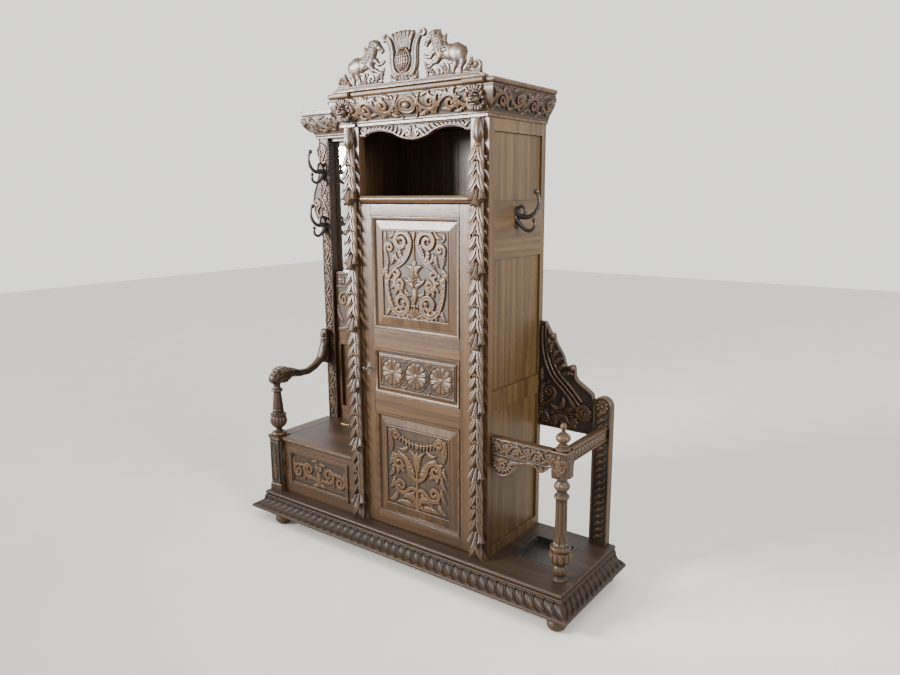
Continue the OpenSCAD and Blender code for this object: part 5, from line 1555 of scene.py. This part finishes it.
def build_arm():
    """The arm: a rail that sweeps down from the back and ends in a leafy coil."""
    low, high = box("arm")
    middle = (low[0] + high[0]) / 2
    clay = Clay((low[1] - 6, -31, low[2] - 2), (high[1] + 2, 31, high[2] + 8), 1.7)
    path = np.array([(-172, 757), (-150, 768), (-105, 774), (-50, 766), (0, 752), (60, 750), (110, 768), (160, 802),
                     (184, 850), (198, 905)], float)
    path = evenly(path, 30)
    clay.tube(path, [26, 30, 28, 21, 17, 17, 18, 20, 22, 20], 1.35, 3)
    for z in (744, 754, 764, 774, 784):
        clay.tube([(-168 + 0.6 * abs(z - 764), -8, z), (-168 + 0.6 * abs(z - 764), 8, z)], 21, 1, 4)
    clay.coil(spiral((-172, 750), 20, 8, 70, 0.95, 22), 11, 2.6, 0.3)
    for z in np.arange(790, 948, 12):
        clay.tube([(202, -10, z), (202, 10, z)], 20, 0.9, 4)
    for y in (-1, 1):
        clay.leaf((-60, 776), (-176, 786), 22, 1.8, 0.06 * y, 6, y * 15, 1.2)
        clay.leaf((-84, 752), (-182, 752), 17, 2.2, 0.08 * y, 5, y * 18, 1.2)
    for k in range(6):
        clay.score([(-176 + 19 * k, 800), (-158 + 19 * k, 732)], 2.4, 3)
    clay.score(path[8:26] + [0, 9], 2.6, 3.2)
    clay.score(path[8:26] - [0, 8], 2.6, 3.2)
    for k in range(5):
        z = 812 + 27 * k
        clay.leaf((184, z + 4), (176, z + 24), 9, 3.6, 0, 2, 0, 1)
        clay.score([(170, z), (188, z)], 2.4, 2.4)
    solid = clay.solid(lambda u, v, w: np.stack([middle + w * 0.98, np.minimum(u, high[1] - 0.5), v], -1))
    piece("carved_arm", solid, "arm", grain=1, depth=1.8)


# ---- Umbrella bay ----

def build_front_rail():
    """The umbrella bay's front rail, with its cut-out lower edge."""
    low, high = box("umbrella_rail_front")
    x0 = low[0]
    curve = np.concatenate([[(0, 560)], bezier((8, 556), (60, 510), (104, 560)),
                            bezier((130, 592), (165, 616), (206, 618)),
                            bezier((222, 606), (244, 584), (264, 604)), [(276, 622), (high[0] - x0, 628)]])
    u = spaced(0, high[0] - x0, 1.6)
    edge = np.interp(u, curve[:, 0], curve[:, 1])
    top = high[2]

    def front_rail(r):
        length = u[-1]
        r.stroke([(0, top - 5), (length, top - 5)], 5, 6, channel)
        r.stroke([(0, top - 74), (length, top - 74)], 3, 4.5)
        r.stroke([(0, top - 67), (length, top - 67)], 2.2, 3.5)
        r.stroke(np.stack([u, edge + 5], -1), 5, 5)
        vine(r, -6, length, top - 38, 25, 6, 6.5, width=4.8)
        for k in range(6):
            r.rosette((24 + 50 * k, top - 38), 8, 6, 8)
        r.scroll(volute((20, top - 88), (62, 586), 24, 60, 1.3, 30), 8, 8)
        for k, angle in enumerate(range(150, 372, 24)):
            a = math.radians(angle)
            r.leaf((62 + 22 * math.cos(a), 588 + 20 * math.sin(a)), (62 + 52 * math.cos(a), 588 + 40 * math.sin(a)), 8,
                   7, 0.15, 3)
        r.leaves([(96, 604, 150, 616, 11, 7, -0.1, 4), (206, 626, 170, 620, 7, 6, 0.1, 3)])
        r.scroll(volute((150, top - 84), (244, 608), 13, 200, 1.2, 24), 5.5, 7)
    plate(u, edge, top, 1.6, front_rail, facing((x0, low[1] + 6, 0), X, -Y), high[1] - low[1] - 6, "carved_front_rail",
          "umbrella_rail_front", grain=0, ease=2)


def build_side_rail():
    """The umbrella bay's side rail: a row of leaves and beads."""
    low, high = box("umbrella_rail_side")
    length = high[1] - low[1]

    def side_rail(r):
        r.stroke([(0, high[2] - 5), (length, high[2] - 5)], 5, 5, channel)
        r.stroke([(0, low[2] + 5), (length, low[2] + 5)], 4, 4.5)
        for k in range(11):
            x = 14 + (length - 28) * (k + 0.5) / 11
            r.leaf((x - 10, low[2] + 12), (x + 10, high[2] - 14), 9, 6, 0.18, 3)
            r.dome((x + 13, low[2] + 17), 4, 5)
    plate(spaced(0, length, 1.6), low[2], high[2], 1.6, side_rail, facing((high[0] - 5, low[1], 0), Y, X),
          high[0] - low[0] - 5, "carved_side_rail", "umbrella_rail_side", grain=1, ease=2)


def build_column():
    """The turned corner column with its finial, and the block that joins the two rails."""
    low, high = box("corner_column")
    centre = ((low[0] + high[0]) / 2, (low[1] + high[1]) / 2, low[2])
    shaft = [(0, 0), (29, 0), (31, 2), (31, 7), (24, 13), (22, 20), (25, 28), (29, 36), (30, 46), (28, 58), (21, 67),
             *bezier((24, 72), (55, 90), (43, 126), 12),
             (33, 131), (31, 134), (41, 138), (43, 145), (41, 152), (33, 157), (27, 168), (25, 186), (24, 204),
             (23, 350), (27, 355), (31, 361), (30, 368), (22, 375),
             (20, 386), (26, 393), (31, 401), (31, 412), (25, 422), (20, 430), (22, 437), (24, 445), (0, 445)]

    def column(z, a):
        shape = 1 + 0.10 * (np.abs(np.cos(6 * a)) - 0.6) * ((z > 68) & (z < 128))
        shape = shape + 0.11 * (np.abs(np.cos(5 * a)) - 0.65) * ((z > 204) & (z < 348))
        shape = shape + 0.16 * (np.abs(np.cos(4 * a)) - 0.5) * np.clip((204 - z) / 40, 0, 1) * (z > 160)
        return shape + 0.08 * (np.abs(np.cos(6 * a)) - 0.6) * (((z > 394) & (z < 420)) | ((z > 34) & (z < 60)))
    finial = [(0, 0), (30, 0), (31, 3), (31, 7), (25, 12), (21, 15), (22, 20), (14, 25), (13, 30),
              *bezier((20, 33), (42, 52), (14, 70), 12), (9, 74), (7, 82),
              (11, 88), (13.5, 95), (12, 102), (7, 109), (0, 111)]

    def bud(z, a):
        return 1 + 0.08 * (np.abs(np.cos(6 * a)) - 0.6) * ((z > 31) & (z < 52))
    solids = [turned(shaft, centre, 120, column), turned(finial, (centre[0], centre[1], 705), 100, bud)]
    piece("turned_column", joined(solids), "corner_column")
    for k, (along, out) in enumerate(((X, -Y), (Y, X), (-X, Y), (-Y, -X))):
        origin = np.array([centre[0], centre[1], 0]) + out * 31

        def block(r):
            r.stroke([(-34, 700), (34, 700)], 4.5, 4)
            r.leaf((0, 604), (0, 690), 17, 7, 0, 4)
            for s in (-1, 1):
                r.scroll(volute((s * 8, 610), (s * 19, 664), 10, 90 - s * 90, s * 1.1, 20), 3.6, 5)
                r.leaf((s * 6, 612), (s * 26, 628), 7, 5, 0.15 * s, 3)
        u = spaced(-33.5, 33.5, 1.5)
        ogee = 591 + 12 * (np.abs(u) / 33.5) ** 1.5
        plate(u, ogee if k < 2 else 591, 705, 1.5, block, facing(origin, along, out), 31, f"column_block_{k}",
              "corner_column", ease=1)


def build_right_post():
    """The round-headed post at the umbrella bay's back corner."""
    low, high = box("back_post_right")
    middle, radius = (low[0] + high[0]) / 2, (high[0] - low[0]) / 2
    u = spaced(-radius, radius, 1.7)
    top = 787 + np.sqrt(np.clip(radius ** 2 - u ** 2, 9, None))

    def post(r):
        for s in (-1, 1):
            r.stroke([(s * (radius - 5), low[2]), (s * (radius - 5), 787)], 4, 5)
        r.stroke(arc((0, 787), radius - 5, 0, 180, 24), 4, 5)
        r.rosette((0, 787), 30, 8, 9, 0.2, 0.25)
        for k in range(19):
            z = low[2] + 16 + 32 * k
            r.leaf((-20, z), (22, z + 24), 11, 7.5, 0.16, 3)
            r.dome((21, z + 2), 5, 6)
    plate(u, low[2], top, 1.7, post, facing((middle, low[1] + 4, 0), X, -Y), high[1] - low[1] - 4, "carved_back_post",
          "back_post_right")


def build_wing():
    """The scrolled panel that climbs from the umbrella bay to the cabinet."""
    low, high = box("back_panel_right")
    x0 = low[0]
    knob = [(1596 + 15 * math.cos(a), 936 + 15 * math.sin(a)) for a in np.radians([10, 50, 90, 130, 165])]
    ball = [(1494 + 14 * math.cos(a), 1070 + 14 * math.sin(a)) for a in np.radians([0, 45, 90, 110])]
    outline = np.array([(1708, 806), *bezier((1700, 834), (1660, 862), (1624, 884), 8), (1613, 905), (1612, 924), *knob,
                        (1566, 940), (1560, 958), (1552, 985),
                        (1536, 1010), (1528, 1020), (1508.5, 1052), *ball, (1480, 1096), (1474, 1108), (1458, 1132),
                        (1431, 1134)], float) - [1431, 0]
    outline = outline[np.argsort(outline[:, 0], kind="stable")]
    u = spaced(0, high[0] - x0, 1.7)
    top = np.interp(u, outline[:, 0], outline[:, 1])

    def back(r):
        main = np.concatenate([bezier((18, 1110), (8, 930), (96, 856), 20),
                               bezier((96, 856), (150, 812), (206, 742), 16)[1:]])
        for shift in (0, 17, 34):
            r.stroke(main[:-shift // 12 or None] + [shift, shift * 0.7], [5, 7, 7, 5], 10, rounded)
        r.scroll(volute((150, 812), (232, 742), 32, 150, -1.5, 26), 10, 12)
        r.fringe(spiral((232, 742), 36, 38, 20, -0.5, 24), 7, 22, 9, 9, -1, 40, 0, 1)
        rim = np.stack([u, top - 6], -1)
        r.stroke(rim[int(len(u) * 0.66):], 6, 9)
        for x, z, tip, up in ((72, 1010, 74, 1052), (80, 985, 104, 1012), (94, 962, 126, 980), (112, 938, 148, 950),
                              (132, 916, 176, 912), (60, 1040, 56, 1070)):
            r.leaf((x - 16, z - 24), (tip, up - 4), 15, 12, 0.15, 4)
        r.dome((63, 1070), 14, 13)
        r.dome((165, 936), 15, 13)
        r.stroke([(0, 724), (190, 724)], 4, 6)
        r.stroke([(0, 651), (277, 651)], 5, 6)
        vine(r, 2, 200, 688, 26, 4, 8, width=6)
        r.scroll(volute((16, 742), (56, 812), 34, -60, 1.4, 34), 9, 9)
        r.fringe(bezier((14, 742), (4, 800), (20, 850)), 6, 30, 10, 8, -1, 38)
        r.leaves([(100, 740, 64, 760, 13, 8, 0.2, 4), (110, 744, 126, 800, 15, 9, -0.15, 5),
                  (134, 740, 176, 760, 14, 8, -0.15, 4), (16, 862, 24, 930, 12, 8, 0.1, 4),
                  (40, 846, 66, 862, 10, 8, 0.1, 3)])
    plate(u, low[2], top, 1.7, back, facing((x0, low[1] + 5, 0), X, -Y), high[1] - low[1] - 5, "carved_back_wing",
          "back_panel_right")


# ---- Hooks ----

def wire(points, radii, around=14, wide=1.0):
    """A rounded bar along a path in space. wide stretches it across its path's plane."""
    points = np.array(points, float)
    radii = spread(radii, len(points))
    tangent = np.gradient(points, axis=0)
    tangent /= np.linalg.norm(tangent, axis=1)[:, None]
    normal = np.cross(points[-1] - points[0], points[len(points) // 2] - points[0])
    if np.linalg.norm(normal) < 1:
        normal = np.cross(points[-1] - points[0], Z)
    normal /= np.linalg.norm(normal)
    other = np.cross(tangent, normal)
    a = np.linspace(0, 2 * math.pi, around, endpoint=False)
    round_it = wide * normal * np.cos(a)[None, :, None] + other[:, None] * np.sin(a)[None, :, None]
    rings = points[:, None] + radii[:, None, None] * round_it
    return loft(rings)


def coat_hook(origin, out, across):
    """A cast double hook: lobed plate, long upper arm, short lower arm, a knob on each tip and one in the middle."""
    origin, out, across = (np.array(v, float) for v in (origin, out, across))

    def at(points):
        points = np.asarray(points, float)
        return origin + points[:, :1] * out + points[:, 1:] * Z
    u = spaced(-15.5, 15.5, 0.9)
    top = 34 + 13 * np.abs(np.cos(u / 15.5 * math.pi)) ** 0.7 - 9 * (np.abs(u) / 15.5) ** 4
    s = spaced(0, 1, 0.012)
    relief = Relief(u, -top[:, None] + s * 2 * top[:, None])
    relief.h += 1.5
    for z in (-30, 30):
        relief.dome((0, z), 6, 5)
        relief.rosette((0, z * 1.25), 9, 5, 4)
    relief.leaf((0, -10), (0, -44), 8, 5, 0, 3)
    relief.leaf((0, 10), (0, 44), 8, 5, 0, 3)
    relief.dome((0, 0), 15, 6)
    middle = origin + relief.u[:, None, None] * across
    front = middle + relief.v[..., None] * Z + (relief.h[..., None] + 2.5) * out
    back = middle + relief.v[:, [-1, 0], None] * Z
    plate_solid = loft(np.concatenate([front, back], 1))
    upper = np.concatenate([bezier((3, 12), (72, -16), (100, 40)), bezier((100, 40), (115, 76), (95, 101))[1:]])
    upper = evenly(upper, 40)
    lower = np.concatenate([bezier((3, -8), (46, -64), (72, -50)), bezier((72, -50), (94, -38), (87, -14))[1:]])
    lower = evenly(lower, 30)
    solids = [plate_solid, wire(at(upper), [11, 10.5, 9, 7.4, 6.2, 5], wide=1.25),
              wire(at(lower), [10, 9, 7.6, 6.6, 5.4], wide=1.25)]
    for tip, r in (((93, 105), 11.5), ((86, -10), 10), ((42, 14), 9)):
        angles = np.radians(np.arange(-80, 81, 16))
        profile = [(0, -r), *[(r * math.cos(a), r * math.sin(a)) for a in angles], (0, r)]
        solids.append(turned(profile, at(np.array([tip]))[0], 28))
    hump = np.concatenate([bezier((2, 18), (14, 58), (34, 44)), bezier((34, 44), (48, 32), (40, 8))[1:]])
    solids.append(wire(at(evenly(hump, 30)), [8, 7, 6.5, 6, 5], wide=1.2))
    collar = [at(np.array([p]))[0] for p in ((95, 26), (103, 38))]
    solids.append(wire(np.array([collar[0] - across * 9, (collar[0] + collar[1]) / 2, collar[1] + across * 9]),
                       [3, 4.5, 3]))
    return joined(solids)


RIGHT_HOOK, LEFT_HOOKS = 1598, (1812, 1532)  # heights of the hooks' plates


def build_hooks():
    """The hook on the cabinet's right side and the two in the left bay."""
    low, high = box("hook_right")
    right = coat_hook((low[0], (low[1] + high[1]) / 2, RIGHT_HOOK), X, Y)
    piece("cast_hook_right", right, "hook_right", depth=0.8)
    low, high = box("hooks_left")
    pair = [coat_hook(((low[0] + high[0]) / 2, high[1], z), -Y, X) for z in LEFT_HOOKS]
    piece("cast_hooks_left", joined(pair), "hooks_left", depth=0.8)


for build in (build_door, build_plinth, build_cornice, build_apron, build_garlands, build_crest, build_left_stile,
              build_back_panel, build_ear, build_seat_panel, build_seat_post, build_baluster, build_arm,
              build_front_rail, build_side_rail, build_column, build_right_post, build_wing, build_hooks):
    build()
